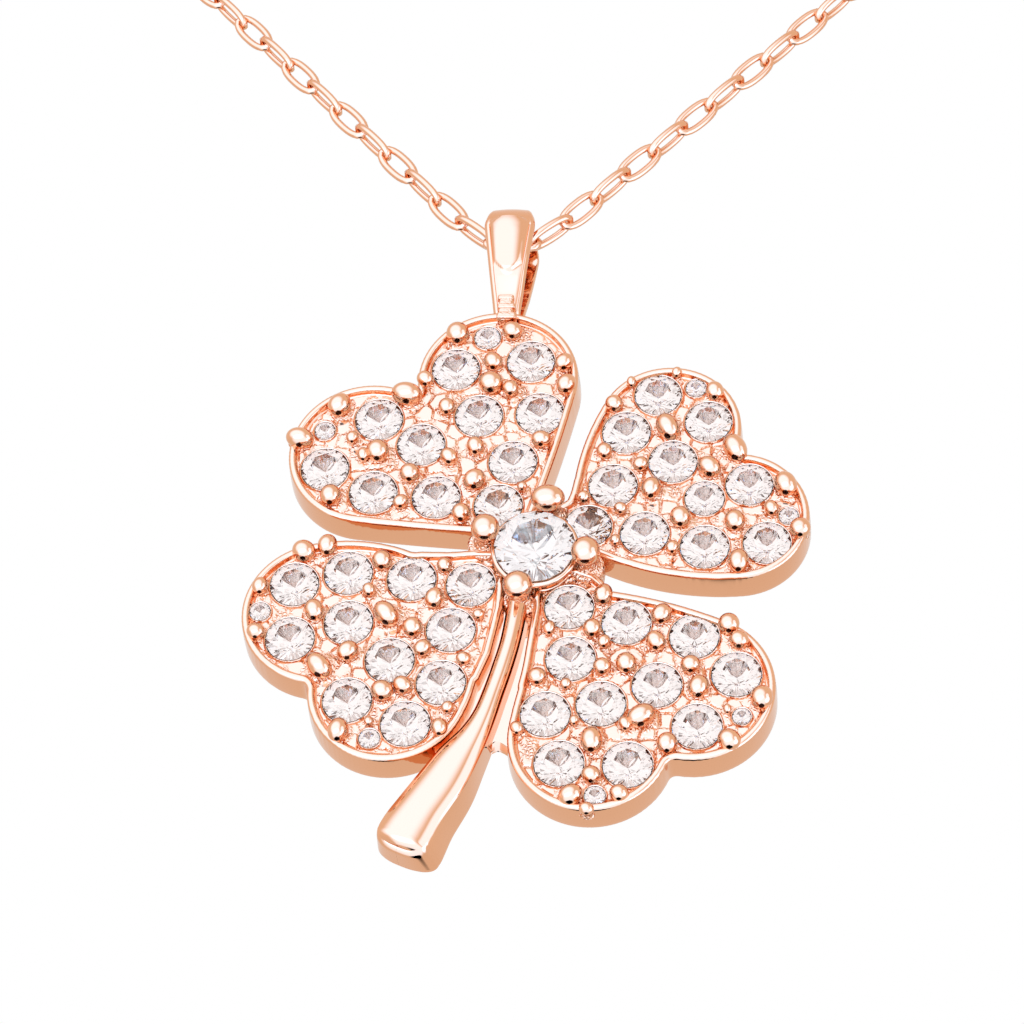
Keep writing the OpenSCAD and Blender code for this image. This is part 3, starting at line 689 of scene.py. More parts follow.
def collar_profile(r):
    """Closed section of the seat round a stone: a low lip, the cone, the drilled hole and its rim behind.

    Rows are measured from the stone's or the hole's radius, and from the floor, the cone's foot or
    the back.
    """
    hole = seat_hole(r)
    cone_foot = FLOOR + (r + SEAT_PLAY - hole) * SEAT_SLOPE
    lip = np.array([(0.1, 0.04), (0.085, -0.04), (0.065, -0.095), (0.04, -0.115), (0.015, -0.1),
                    (0.02, -0.03), (0.06, 0.03)]) + (r, FLOOR)
    cone = np.array([(0.03, 0.05), (0, 0.08)]) + (hole, cone_foot)
    rim = np.array([(0, -0.04), (0.03, 0.012), (0.13, 0.01), (0.15, -0.03)]) + (hole, BACK)
    return np.concatenate([lip, cone, rim, [(hole + 0.08, cone_foot + 0.08)]])


def cut_rings(radii, places, around=24):
    """Rings of the bright-cut cones that the stones sit in: thin closed shells with fine flutes.

    Each second spoke is wider by the ring's share in flute.
    """
    thickness = 0.03
    hole = seat_hole(radii)
    lip = radii + 0.012
    tip = np.full(len(radii), 0.015)
    across = np.stack([lip, lip - 0.012, hole - 0.01, tip, tip, hole, lip + 0.01], axis=1)
    level = FLOOR + (radii[:, None] + SEAT_PLAY - across) * SEAT_SLOPE
    level[:, 0] = FLOOR - 0.03
    level[:, 1] = FLOOR - 0.022
    level[:, 4:6] += thickness
    level[:, 6] = FLOOR
    flute = np.outer([0, 0.02, 0.06, 0, 0, 0.06, 0.02], np.arange(around) % 2)
    rings = revolve(np.stack([across, level], axis=-1), places, around)
    middle = places[:, None, None, :]
    rings[..., [0, 2]] = middle + (rings[..., [0, 2]] - middle) * (1 + flute)[None, ..., None]
    return rings


def painted_cut_streaks(rings):
    """Masks of a bright cut: no grain, and painted shade: dark streaks of uneven depth painted down each
    second spoke of its cone.
    """
    turn = np.arange(rings.shape[2])
    # painted shade: each second spoke gets a dark streak of uneven depth
    streak = 0.44 + 0.075 * (turn % 2) * (0.5 + 0.5 * np.sin(2.3 * turn))
    return {"grain": np.zeros(rings[..., 0].size),
            "painted_shade": np.broadcast_to(streak, rings.shape[:3]).ravel()}


def bead_rows(name):
    """Place (across, up) and radius of each setting bead of a petal, clear of its stones."""
    table = np.array(BEADS[name], float)
    stones = np.array(STONES[name], float)
    gap = np.linalg.norm(table[:, None, :2] - stones[None, :, :2], axis=-1) - stones[:, 2]
    radius = np.minimum(table[:, 2], gap.min(axis=1) - BEAD_GAP)
    kept = radius >= SMALLEST_BEAD
    return np.concatenate([petal_places(name, table), HEAD_GROWTH * radius[:, None]], axis=1)[kept]


def bead_profile(r):
    """Radius and level of a bead from its small foot up its stalk and over its round head."""
    foot = np.array([(0.05, 0.05), (0.025, -0.02), (0, -0.07), (0, -0.1)]) + (BEAD_STALK * r, FLOOR)
    head = arc((0, 0), r, -36, 88, 13)
    head = np.stack([head[:, 0], BEAD - head[:, 1]], axis=-1)
    return np.concatenate([foot, head])


def foot_grain(count, rows, foot_rows, around):
    """Grain share of turned pieces: one on the rings of the foot, none on the polished head."""
    share = np.where(np.arange(rows) < foot_rows, 1.0, 0.0)
    each = np.concatenate([np.repeat(share, around), [1, 0]])
    return np.tile(each, count)


def painted_shade_under_head(rings, places, radii, level, wide, deep):
    """Share of painted shade on turned heads: a dark oval painted just under each, on the side that faces
    down, in place of a dark reflection.

    It is one less half the distance from the oval's middle, in units of the oval's half sizes, wide and
    deep. They and how far the middle is ahead of the head's level are shares of the head's radius.
    """
    ahead = 0.22
    radii = radii[:, None, None]
    across = (rings[..., 0] - places[:, None, None, 0]) / (wide * radii)
    out = (rings[..., 1] - level + ahead * radii) / (deep * radii)
    low = rings[..., 2] < places[:, None, None, 1]
    # painted shade: the dark spot under the head, highest at the oval's middle
    share = np.where(low, np.clip(1 - 0.5 * np.hypot(across, out), 0, 1), 0)
    return np.concatenate([share.reshape(len(places), -1), np.zeros((len(places), 2))], axis=1).ravel()


def bead_squeeze(turn, stretch):
    """Flat stretch of each bead: longer by stretch along turn, shorter by it across."""
    c = np.cos(2 * turn)
    s = np.sin(2 * turn)
    return np.stack([np.stack([1 + stretch * c, stretch * s], -1),
                     np.stack([stretch * s, 1 - stretch * c], -1)], 1)


def ring_of_prongs(radius):
    """Places of the four prongs on a ring round the hub's middle."""
    turn = np.radians(PRONG_ANGLES)
    return HUB + radius * np.stack([np.cos(turn), np.sin(turn)], axis=-1)


def hub_skins():
    """The hub's disc with the centre stone's seat, sunk under the pave stones, and the prongs' bosses."""
    inner = [(0.25, BACK + 0.01), (0.25, 0.2), (0.9, -0.4), (0.94, -0.43), (0.98, -0.4)]
    floor = [(r, HUB_LEVEL) for r in np.linspace(1.02, 1.86, 26)]
    outer = [(1.93, HUB_LEVEL + 0.05), (1.95, HUB_LEVEL + 0.12), (1.95, BACK - 0.06), (1.88, BACK + 0.01)]
    rings = revolve(np.array(inner + floor + outer), [HUB], 160)
    stones = np.concatenate([stone_rows(name) for name in PETALS])
    part = slice(len(inner), len(inner) + len(floor) + 2)
    flat = rings[0, part][..., [0, 2]]
    sunk = floor_level(flat.reshape(-1, 2), stones, ()).reshape(flat.shape[:-1])
    rings[0, part, :, 1] = np.maximum(rings[0, part, :, 1], sunk)
    skins = [facing_out(skin(rings, closed_rows=True))]
    boss = np.concatenate([[(0.02, BACK - 0.1), (0.5, BACK - 0.1), (0.56, 0)],
                           arc((0.46, -0.44), 0.1, 0, -90, 5), [(0.02, -0.55)]])
    skins.append(facing_out(skin(revolve(boss, ring_of_prongs(BOSS_RING), 40))))
    return skins


def prong_rings(around):
    """Rings of the four prongs, a flared foot, a post and a round head each, and their places.

    A head is a little flatter than a ball, and each prong has its own share of its width across and up.
    """
    flatter = 0.93
    places = ring_of_prongs(PRONG_RING) + PRONG_SHIFT
    head = arc((0, 0), PRONG_HEAD, -52, 88, 18)
    head = np.stack([head[:, 0], HEAD - flatter * head[:, 1]], axis=-1)
    foot = np.array([(0.5, -0.3), (0.47, -0.52), (0.36, -0.6), (0.3, -0.72), (0.275, -0.9)])
    across = np.array([1.16, 0.98, 1.0, 0.98])
    tall = np.array([0.9, 0.95, 0.96, 1.0])
    squeeze = np.stack([np.stack([across, 0 * across], -1), np.stack([0 * tall, tall], -1)], axis=1)
    return revolve(np.concatenate([foot, head]), places, around, squeeze), places


def rail_skin():
    """The ring of wire under the centre stone."""
    wire = arc((RAIL_RING, RAIL), RAIL_WIRE, 0, 345, 16)
    return facing_out(skin(revolve(wire, [HUB], 96), closed_rows=True))


def smooth_line(stations, count):
    """Stations carried along a smooth line: a cubic through each four, in equal steps."""
    rows = np.array(stations, float)
    rows = np.concatenate([2 * rows[:1] - rows[1:2], rows, 2 * rows[-1:] - rows[-2:-1]])
    t = np.linspace(0, len(stations) - 1.0001, count)
    k = t.astype(int)
    s = (t - k)[:, None]
    a, b, c, d = rows[k], rows[k + 1], rows[k + 2], rows[k + 3]
    bend = 2 * a - 5 * b + 4 * c - d
    twist = 3 * b - a - 3 * c + d
    return 0.5 * (2 * b + (c - a) * s + bend * s ** 2 + twist * s ** 3)


def stem_section():
    """Across share, level, share of the spread and share of the crown on a ring of the stem.

    A round front with crisp edges, sides that spread towards the back, and a flat back.
    """
    front_points = 25
    side_points = 14
    t = np.linspace(-1, 1, front_points)
    crown = 1 - np.abs(t) ** 2.4
    front = np.stack([0.5 * t, np.full(front_points, STEM_EDGE), np.zeros(front_points), crown], axis=-1)
    down = np.linspace(0.03, STEM_SIDE - 0.08, side_points)
    spread = (down / STEM_SIDE) ** 0.8
    right = np.stack([np.full(side_points, 0.5), STEM_EDGE + down, spread, np.zeros(side_points)], axis=-1)
    corner = np.array([(0.5, STEM_EDGE + STEM_SIDE - 0.02, 0.94, 0),
                       (0.48, STEM_EDGE + STEM_SIDE, 0.8, 0)])
    half = np.concatenate([right, corner])
    left = half[::-1] * [-1, 1, -0.25, 0]
    return np.concatenate([front, half, left])


def stem_skin():
    """The stem: its section carried along the middle line, then round the end.

    Round the end the section narrows as a power of the cosine of a turn while it moves ahead with
    its sine, the back further than the front.
    """
    end_rings = 24
    line = smooth_line(STEM, 90)
    heading = np.gradient(line[:, :2], axis=0)
    heading /= np.linalg.norm(heading, axis=1, keepdims=True)
    turn = np.radians(np.linspace(5, 89.99, end_rings))
    narrow = np.concatenate([np.ones(len(line)), np.cos(turn) ** 0.75])[:, None]
    ahead = np.concatenate([np.zeros(len(line)), np.sin(turn) ** 0.9])[:, None]
    line = np.concatenate([line, np.repeat(line[-1:], end_rings, axis=0)])
    heading = np.concatenate([heading, np.repeat(heading[-1:], end_rings, axis=0)])
    side = np.stack([heading[:, 1], -heading[:, 0]], axis=-1)
    share, level, spread, crown = stem_section().T
    across = (share * line[:, 2:3] + spread * line[:, 3:4]) * narrow
    depth = np.clip((level - STEM_EDGE) / STEM_SIDE, 0, 1)
    reach = ahead * (0.46 - 0.13 * np.clip(1 - depth / 0.2, 0, 1) ** 2)
    flat = (line[:, None, :2] - side[:, None, :] * across[..., None]
            + heading[:, None, :] * reach[..., None])
    height = level - STEM_CROWN * crown * (1 - 0.45 * ahead ** 2) + 0.08 * ahead ** 4 * (1 - depth) ** 2
    return facing_out(skin(lift(flat, height)))


def web_skin():
    """The low web: its outline carried from the back up a wall that leans in to a soft, low top."""
    edge, dense = even_edge(lambda p: polygon_depth(p, WEB), WEB_MIDDLE, reach=4, count=160)
    profile = np.array([(0.06, BACK - 0.03), (0.02, BACK - 0.05), (0, BACK - 0.09), (0.02, BACK - 0.15),
                        (0.1, 0.32), (0.2, 0.18), (0.34, 0.05), (0.55, -0.08), (0.8, -0.16)])
    flat = inset_rings(edge, dense, WEB_MIDDLE, profile[:, 0])
    return facing_out(skin(lift(flat, profile[:, 1:])))


def bail_line(count):
    """Side view of the bail's middle line (level, up), its outward direction and its width.

    A half circle over the hinge, then a straight taper to a narrow foot, all at half the strap's depth.
    """
    foot_round = 0.2
    r = BAIL_R - BAIL_T / 2
    foot = BACK - BAIL_T / 2
    drop = BAIL_DROP - BAIL_T / 2
    top = arc((0, 0), r, 180, 0, 24)
    down = np.array([(r - 0.01, -0.3), (r - 0.035, -0.6), (r - 0.1, -1.1), (r - 0.22, -1.7),
                     (foot + 0.1, -2.4), (foot + 0.01, -2.85)])
    bottom = arc((foot - foot_round, -drop + foot_round), foot_round, 0, -90, 5)
    half = np.concatenate([down, bottom])
    loop = np.concatenate([top, half, half[::-1] * [-1, 1]])
    line = smoothed(even_line(loop, count), 0.5, 3)
    heading = headings(line)
    outward = np.stack([-heading[:, 1], heading[:, 0]], axis=-1)
    share = np.clip((BAIL_R - line[:, 1]) / (BAIL_R + BAIL_DROP), 0, 1)
    shoulder = 1 - 0.42 * (np.clip(line[:, 1], 0, None) / r) ** 1.6
    return line, outward, (BAIL_TOP_W + (BAIL_FOOT_W - BAIL_TOP_W) * share) * shoulder


def bail_skin():
    """The bail: a bevelled strap carried round its side view, with a domed field on its front leg.

    field is one where the front leg's field lies, with a curved top, and fall lowers its dome down the
    leg and ends it in a curve at its foot. Elsewhere the strap is only slightly crowned.
    """
    crown = 0.03
    field_foot = -1.72
    dome_least = 0.05
    dome_more = 0.22
    line, outward, width = bail_line(220)
    up = line[:, 1:]
    t = np.linspace(-1, 1, 17)
    inner = 0.5 * BAIL_T
    field = np.clip((BAIL_FIELD_TOP - 0.22 * t ** 4 - up) / 0.1, 0, 1) * (line[:, :1] < 0)
    fall = 1 - 0.45 * np.clip((-0.2 - up) / 1.5, 0, 1)
    fall = fall * np.clip((up - field_foot - 0.4 * t ** 2) / 0.15, 0, 1)
    dome_across = (width[:, None] / 2 - BAIL_BEVEL - 0.02) * t
    dome = (dome_least + dome_more * fall) * (1 - t ** 2) ** 0.7 - crown
    dome_level = inner + field * dome + (1 - field) * crown * (1 - t ** 2)
    edge = np.array([(0.0, inner), (0.05, inner - 0.01), (0.1, inner - 0.05),
                     (BAIL_BEVEL, inner - 0.14), (BAIL_BEVEL + 0.01, 0), (BAIL_BEVEL, -inner + 0.05),
                     (BAIL_BEVEL - 0.03, -inner + 0.01), (0, -inner)])
    edge_across = width[:, None] / 2 - BAIL_BEVEL + edge[None, :, 0]
    edge_level = np.broadcast_to(edge[:, 1], edge_across.shape)
    across = np.concatenate([dome_across, edge_across, -edge_across[:, ::-1]], axis=1)
    level = np.concatenate([dome_level, edge_level, edge_level[:, ::-1]], axis=1)
    side = line[:, None] + outward[:, None] * level[..., None]
    rings = np.stack([across, side[..., 0], side[..., 1]], axis=-1)
    return facing_out(skin(rings, closed_rows=True))


def soft_block(middle, half, power=0.35, rows=14, around=28):
    """A block with soft corners: a ball whose sines and cosines are raised to a small power."""
    def soft(value):
        return np.sign(value) * np.abs(value) ** power
    up = np.linspace(-np.pi / 2, np.pi / 2, rows + 2)[1:-1, None]
    turn = np.linspace(0, 2 * np.pi, around, endpoint=False)[None]
    points = np.stack([soft(np.cos(up)) * soft(np.cos(turn)), soft(np.cos(up)) * soft(np.sin(turn)),
                       np.broadcast_to(soft(np.sin(up)), (rows, around))], axis=-1)
    return facing_out(skin(points * half + middle))


def lug_skins():
    """The small lug that holds the bail's foot: a post with three ribs."""
    return [soft_block(np.array(middle), np.array(half)) for middle, half in LUG_BLOCKS]


def loop_point(s):
    """Place in the loop's plane (across, up) at arc length s from the bottom, going up the left side.

    A small bend through the bail, a straight run, then the arc round the nape.
    """
    nape_r = ((CHAIN_LENGTH - BEND_R * (np.pi - 2 * SPREAD) + 2 * BEND_R / math.tan(SPREAD))
              / (np.pi + 2 * SPREAD + 2 / math.tan(SPREAD)))
    bend_up = -(nape_r + (nape_r - BEND_R) / math.sin(SPREAD))
    bend_end = np.pi / 2 - SPREAD
    bend_length = BEND_R * bend_end
    run = (nape_r - BEND_R) / math.tan(SPREAD)
    bend = np.clip(s / BEND_R, 0, bend_end)
    straight = np.clip(s - bend_length, 0, run)
    turn = np.clip((s - bend_length - run) / nape_r, 0, None)
    around = np.pi / 2 + SPREAD - turn
    low = np.stack([-BEND_R * np.sin(bend) - straight * math.sin(SPREAD),
                    bend_up - BEND_R * np.cos(bend) + straight * math.cos(SPREAD)], axis=-1)
    high = np.stack([-nape_r * np.sin(around), nape_r * (np.cos(around) - 1)], axis=-1)
    return np.where((turn > 0)[..., None], high, low)


def in_space(flat, off=0.0):
    """A place in the loop's plane, or off it towards the back, leaned back about the nape."""
    return np.stack([flat[..., 0], flat[..., 1] * math.sin(LEAN) + off * math.cos(LEAN),
                     flat[..., 1] * math.cos(LEAN) - off * math.sin(LEAN)], axis=-1)


def link_shape(sizes, steps=24, sides=8):
    """One link in its own frame: a round wire carried round a flattened oval.

    The oval is x = a cos^p, y = b sin^p with p a little under one; the last axis is along, across, out.
    """
    power = 0.84
    wire = sizes.link_wire / MM / 2
    half_size = np.array([sizes.link_length, sizes.link_width]) / MM / 2 - wire
    turn = np.linspace(0, 2 * np.pi, 720, endpoint=False)
    spoke = np.stack([np.cos(turn), np.sin(turn)], axis=-1)
    line = even_line(half_size * np.sign(spoke) * np.abs(spoke) ** power, steps, 0.5)
    heading = headings(line)
    out = np.stack([heading[:, 1], -heading[:, 0]], axis=-1)
    round_turn = np.linspace(0, 2 * np.pi, sides, endpoint=False)
    flat = line[:, None] + wire * np.cos(round_turn)[None, :, None] * out[:, None]
    rise = np.broadcast_to(wire * np.sin(round_turn), flat.shape[:-1])
    return np.concatenate([flat, rise[..., None]], axis=-1)


def chain_skin(sizes):
    """All links: each lies between two joints of the loop, turned nearly a quarter from its neighbours."""
    half_length = CHAIN_LENGTH / 2 - CLASP_L / 2 - CLASP_GAP
    count = int(half_length / LINK_PITCH)
    number = np.arange(-count, count + 1)

    def joint(s):
        return loop_point(np.abs(s)) * np.stack([np.where(s < 0, -1.0, 1.0), np.ones(len(s))], axis=-1)

    first = in_space(joint((number - 0.5) * LINK_PITCH))
    last = in_space(joint((number + 0.5) * LINK_PITCH))
    middle = (first + last) / 2
    along = (last - first) / np.linalg.norm(last - first, axis=1, keepdims=True)
    plane = np.array([0, math.cos(LEAN), -math.sin(LEAN)])
    across = np.cross(plane, along)
    roll = np.where(number == 0, 0.0, LINK_ROLL) + np.where(number % 2 == 0, 0, np.pi / 2 - LINK_TILT)
    out = plane * np.cos(roll)[:, None] + across * np.sin(roll)[:, None]
    beside = np.cross(out, along)
    axes = np.stack([along, beside, out], axis=1)
    shape = link_shape(sizes)
    rings = middle[:, None, None] + np.einsum("rck,nkj->nrcj", shape, axes)
    return facing_out(skin(rings, closed_rows=True))


def clasp_skin():
    """The plain closed clasp: a bar with round ends, whose outline shrinks towards both of its faces."""
    softness = 0.32
    turn = np.linspace(0, 2 * np.pi, 96, endpoint=False)
    along = np.cos(turn)
    half_bar = CLASP_L / 2 - CLASP_W / 2
    bar = np.sign(along) * half_bar * np.minimum(1, 4 * np.abs(along))
    outline = np.stack([along * CLASP_W / 2 + bar, np.sin(turn) * CLASP_W / 2], axis=-1)
    rings = [in_space(outline * (1 - softness * (1 - width)), level * CLASP_T / 2)
             for width, level in arc((0, 0), 1, -88, 88, 15)]
    return facing_out(skin(np.stack(rings)))


def feed(tree, node, inputs):
    """Give a node its inputs by name or number: each is a value, or the socket that feeds it."""
    for socket, value in inputs.items():
        if isinstance(value, bpy.types.NodeSocket):
            tree.links.new(value, node.inputs[socket])
        else:
            node.inputs[socket].default_value = value


def add_node(tree, kind, inputs=None, **settings):
    """A node with its settings and its inputs."""
    node = tree.nodes.new(kind)
    for name, value in settings.items():
        setattr(node, name, value)
    feed(tree, node, inputs or {})
    return node


def maths(tree, operation, *values):
    """The result of a maths node on values or sockets."""
    return add_node(tree, "ShaderNodeMath", dict(enumerate(values)), operation=operation).outputs[0]


def smooth_ramp(tree, value, low, high, start=0.0, end=1.0):
    """A value carried smoothly from start, at low, to end, at high."""
    inputs = {"Value": value, "From Min": low, "From Max": high, "To Min": start, "To Max": end}
    return add_node(tree, "ShaderNodeMapRange", inputs, interpolation_type="SMOOTHSTEP").outputs["Result"]


def mix_colours(tree, share, first, second):
    """The first colour where the share is zero, the second where it is one."""
    inputs = {"Factor": share, "A": first, "B": second}
    return add_node(tree, "ShaderNodeMix", inputs, data_type="RGBA").outputs["Result"]


def cloud(tree, place, scale, detail=2.0):
    """Soft noise over a place, from zero to one."""
    inputs = {"Vector": place, "Scale": scale, "Detail": detail}
    return add_node(tree, "ShaderNodeTexNoise", inputs).outputs["Fac"]


def finish_group():
    """Hand-polished metal: colour that drifts a little, fine scratches, grain, and painted shade (dark
    spots and streaks) where asked.
    """
    name = "hand_polish"
    if name in bpy.data.node_groups:
        return bpy.data.node_groups[name]
    group = bpy.data.node_groups.new(name, "ShaderNodeTree")
    for socket, direction, kind in (("Metal", "INPUT", "Color"), ("Deep metal", "INPUT", "Color"),
                                    ("Place", "INPUT", "Vector"), ("Polish", "INPUT", "Float"),
                                    ("Grain", "INPUT", "Float"), ("Painted_shade", "INPUT", "Float"),
                                    ("Color", "OUTPUT", "Color"), ("Roughness", "OUTPUT", "Float"),
                                    ("Height", "OUTPUT", "Float")):
        group.interface.new_socket(name=socket, in_out=direction, socket_type="NodeSocket" + kind)
    given = add_node(group, "NodeGroupInput").outputs
    drift = cloud(group, given["Place"], DRIFT_SCALE, 3)
    scratch = cloud(group, given["Place"], SCRATCH_SCALE, 4)
    cells = add_node(group, "ShaderNodeTexVoronoi", {"Vector": given["Place"], "Scale": GRAIN_SCALE},
                     feature="DISTANCE_TO_EDGE")
    crease = maths(group, "SUBTRACT", 1.0, smooth_ramp(group, cells.outputs["Distance"], 0.02, 0.3))
    cut = maths(group, "MULTIPLY", crease, given["Grain"])
    deep = maths(group, "MULTIPLY", cut, CUT_DEEPENS)
    deep = maths(group, "MULTIPLY_ADD", given["Grain"], GRAIN_DEEPENS, deep)
    deep = maths(group, "MULTIPLY_ADD", drift, DRIFT_DEEPENS, deep)
    colour = mix_colours(group, deep, given["Metal"], given["Deep metal"])
    # Painted shade: the mask turns the colour near black where it is high.
    painted_shade = smooth_ramp(group, given["Painted_shade"], *PAINTED_SHADE_EDGE)
    rough = maths(group, "MULTIPLY_ADD", scratch, SCRATCH_ROUGHENS, given["Polish"])
    rough = maths(group, "MULTIPLY_ADD", given["Grain"], GRAIN_ROUGHENS, rough)
    height = maths(group, "MULTIPLY_ADD", scratch, SCRATCH_HEIGHT, maths(group, "MULTIPLY", cut, -1.0))
    add_node(group, "NodeGroupOutput", {"Color": mix_colours(group, painted_shade, colour, PAINTED_SHADE_COLOUR),
                                        "Roughness": rough, "Height": height})
    return group


def new_material(name):
    """A node material, its tree and its shader."""
    material = bpy.data.materials.new(name)
    material.use_nodes = True
    return material, material.node_tree, material.node_tree.nodes["Principled BSDF"]


def metal_material(name, colour, polish, grain, masked):
    """Polished gold on object coordinates; masked takes grain and painted shade from the piece's masks."""
    material, tree, shader = new_material(name)
    place = add_node(tree, "ShaderNodeTexCoord").outputs["Object"]
    deep = [channel * share for channel, share in zip(colour, DEEP_METAL)]
    inputs = {"Metal": (*colour, 1), "Deep metal": (*deep, 1), "Place": place, "Polish": polish,
              "Grain": grain}
    finish = add_node(tree, "ShaderNodeGroup", inputs, node_tree=finish_group())
    if masked:
        for socket in ("Grain", "Painted_shade"):
            mask = add_node(tree, "ShaderNodeAttribute", attribute_name=socket.lower())
            feed(tree, finish, {socket: mask.outputs["Fac"]})
    bump = add_node(tree, "ShaderNodeBump", {"Strength": BUMP_STRENGTH, "Distance": BUMP_DEPTH,
                                             "Height": finish.outputs["Height"]})
    feed(tree, shader, {"Metallic": 1.0, "Normal": bump.outputs["Normal"],
                        "Base Color": finish.outputs["Color"], "Roughness": finish.outputs["Roughness"]})
    return material


def metal(name, polish=None, grain=0.0, masked=False, chain=False, colour=None):
    """The named metal material, made at its first use."""
    if name in bpy.data.materials:
        return bpy.data.materials[name]
    finish = bpy.context.scene.clover_finish
    colour = colour or (finish.chain_gold if chain else finish.gold)
    return metal_material(name, tuple(colour), finish.polish if polish is None else polish, grain, masked)


def crystal_material(name, colour, tint):
    """Clear cut stone: plain refraction with a faint cloud of tint."""
    material, tree, shader = new_material(name)
    share = cloud(tree, add_node(tree, "ShaderNodeTexCoord").outputs["Object"], TINT_SCALE)
    feed(tree, shader, {"Transmission Weight": 1.0, "IOR": CRYSTAL_IOR, "Specular Tint": CRYSTAL_GLINT,
                        "Roughness": 0.0,
                        "Base Color": mix_colours(tree, share, (*colour, 1), (*tint, 1))})
    return material


def build_floor():
    """A pale floor well below the pendant, out of the metal's reflections."""
    mesh = bpy.data.meshes.new("floor")
    half = FLOOR_WIDTH / 2
    corners = ((-half, -half), (half, -half), (half, half), (-half, half))
    mesh.from_pydata([(x, y, FLOOR_HEIGHT) for x, y in corners], [], [(0, 1, 2, 3)])
    material, tree, shader = new_material("pale_floor")
    mottle = cloud(tree, add_node(tree, "ShaderNodeTexCoord").outputs["Object"], MOTTLE_SCALE)
    ramp = add_node(tree, "ShaderNodeValToRGB", {"Fac": mottle})
    for element, grey in zip(ramp.color_ramp.elements, FLOOR_GREYS):
        element.color = (grey, grey, grey, 1)
    feed(tree, shader, {"Roughness": 0.9, "Base Color": ramp.outputs["Color"]})
    mesh.materials.append(material)
    floor = bpy.data.objects.new("floor", mesh)
    floor.visible_glossy = False
    floor.visible_transmission = False
    bpy.context.scene.collection.objects.link(floor)


def aim(azimuth, elevation):
    """Unit vector by azimuth from the front (-Y) towards +X, and elevation."""
    turn = math.radians(azimuth)
    rise = math.radians(elevation)
    return (math.sin(turn) * math.cos(rise), -math.cos(turn) * math.cos(rise), math.sin(rise))


def build_studio(strength):
    """A white studio: a level of light in each direction, summed from soft round lights and dark cards.

    The metal sees cool lights, which turn bright gold to cream, and two dark cards. The floor and the
    clear stones see small dark cards and flags, and light that has passed through a stone is a little
    warmer, to balance the stone's cool tint. The camera itself sees plain white.
    """
    world = bpy.data.worlds.new("studio")
    world.use_nodes = True
    bpy.context.scene.world = world
    tree = world.node_tree
    tree.nodes.clear()
    direction = add_node(tree, "ShaderNodeTexCoord").outputs["Generated"]
    rays = add_node(tree, "ShaderNodeLightPath").outputs

    def level(start, table):
        """The start level plus a smooth round patch for each row of the table."""
        total = start
        for azimuth, elevation, inner, outer, bright in table:
            dot = add_node(tree, "ShaderNodeVectorMath", {0: direction, 1: aim(azimuth, elevation)},
                           operation="DOT_PRODUCT")
            patch = smooth_ramp(tree, dot.outputs["Value"], math.cos(math.radians(outer)),
                                math.cos(math.radians(inner)), end=bright)
            total = maths(tree, "ADD", patch, total)
        return total

    def background(colour):
        node = add_node(tree, "ShaderNodeBackground", {"Color": colour, "Strength": strength})
        return node.outputs["Background"]

    def choose(ray, other, chosen):
        inputs = {"Fac": rays[ray], 1: other, 2: chosen}
        return add_node(tree, "ShaderNodeMixShader", inputs).outputs["Shader"]

    lights = {0: level(0.0, METAL_LIGHTS), 1: KEY_COLOUR, 2: (METAL_AMBIENT,) * 3}
    key = add_node(tree, "ShaderNodeVectorMath", lights, operation="MULTIPLY_ADD")
    shaded = add_node(tree, "ShaderNodeVectorMath",
                      {0: key.outputs["Vector"], 1: level(1.0, METAL_CARDS)}, operation="MULTIPLY")
    cells = add_node(tree, "ShaderNodeTexVoronoi", {"Vector": direction, "Scale": FLAG_SCALE})
    flags = smooth_ramp(tree, cells.outputs["Distance"], *FLAG_SIZE, start=1.0, end=0.0)
    flags = maths(tree, "MULTIPLY", flags, level(-FLAG_DARK, FLAG_VEIL))
    flagged = maths(tree, "ADD", level(STONE_AMBIENT, STONE_CARDS), flags)
    warm = add_node(tree, "ShaderNodeVectorMath", {0: STONE_COLOUR, "Scale": flagged}, operation="SCALE")
    opaque = choose("Is Glossy Ray", background(flagged), background(shaded.outputs["Vector"]))
    seen = choose("Is Transmission Ray", opaque, background(warm.outputs["Vector"]))
    white = add_node(tree, "ShaderNodeBackground", {"Color": (1, 1, 1, 1)}).outputs["Background"]
    add_node(tree, "ShaderNodeOutputWorld", {"Surface": choose("Is Camera Ray", seen, white)})


def build_camera(context):
    """The photograph's view: a long lens below the pendant, looking up at its face."""
    camera = bpy.data.cameras.new("camera")
    camera.sensor_width = SENSOR_WIDTH
    camera.lens = LENS
    camera.clip_start = 0.01
    camera.clip_end = 20
    holder = bpy.data.objects.new("camera", camera)
    rows = [(*turn, place * MM) for turn, place in zip(CAMERA_TURN, CAMERA_PLACE)]
    holder.matrix_world = Matrix((*rows, (0, 0, 0, 1)))
    context.scene.collection.objects.link(holder)
    context.scene.camera = holder
    context.scene.view_settings.view_transform = "Standard"
    context.scene.view_settings.look = "None"


def add_metalwork(name, part, material, origin=CLOVER, sharp=40, masks=None):
    """A piece of the pendant's metal, standing for its share of the clover's solid."""
    add_piece(name, part, origin, material, "pendant", sharp, masks, ("clover",))


class CLOVER_OT_petals(bpy.types.Operator):
    """Build the four petal plates with their rims and stone floors"""

    bl_idname = "clover.petals"
    bl_label = "Petals"

    def execute(self, context):
        for name in PETALS:
            part, grain = petal_skin(name, context.scene.clover_sizes)
            add_metalwork("petal_" + name, facing_out(part), metal("petal_gold", masked=True),
                          masks={"grain": grain})
        return {"FINISHED"}


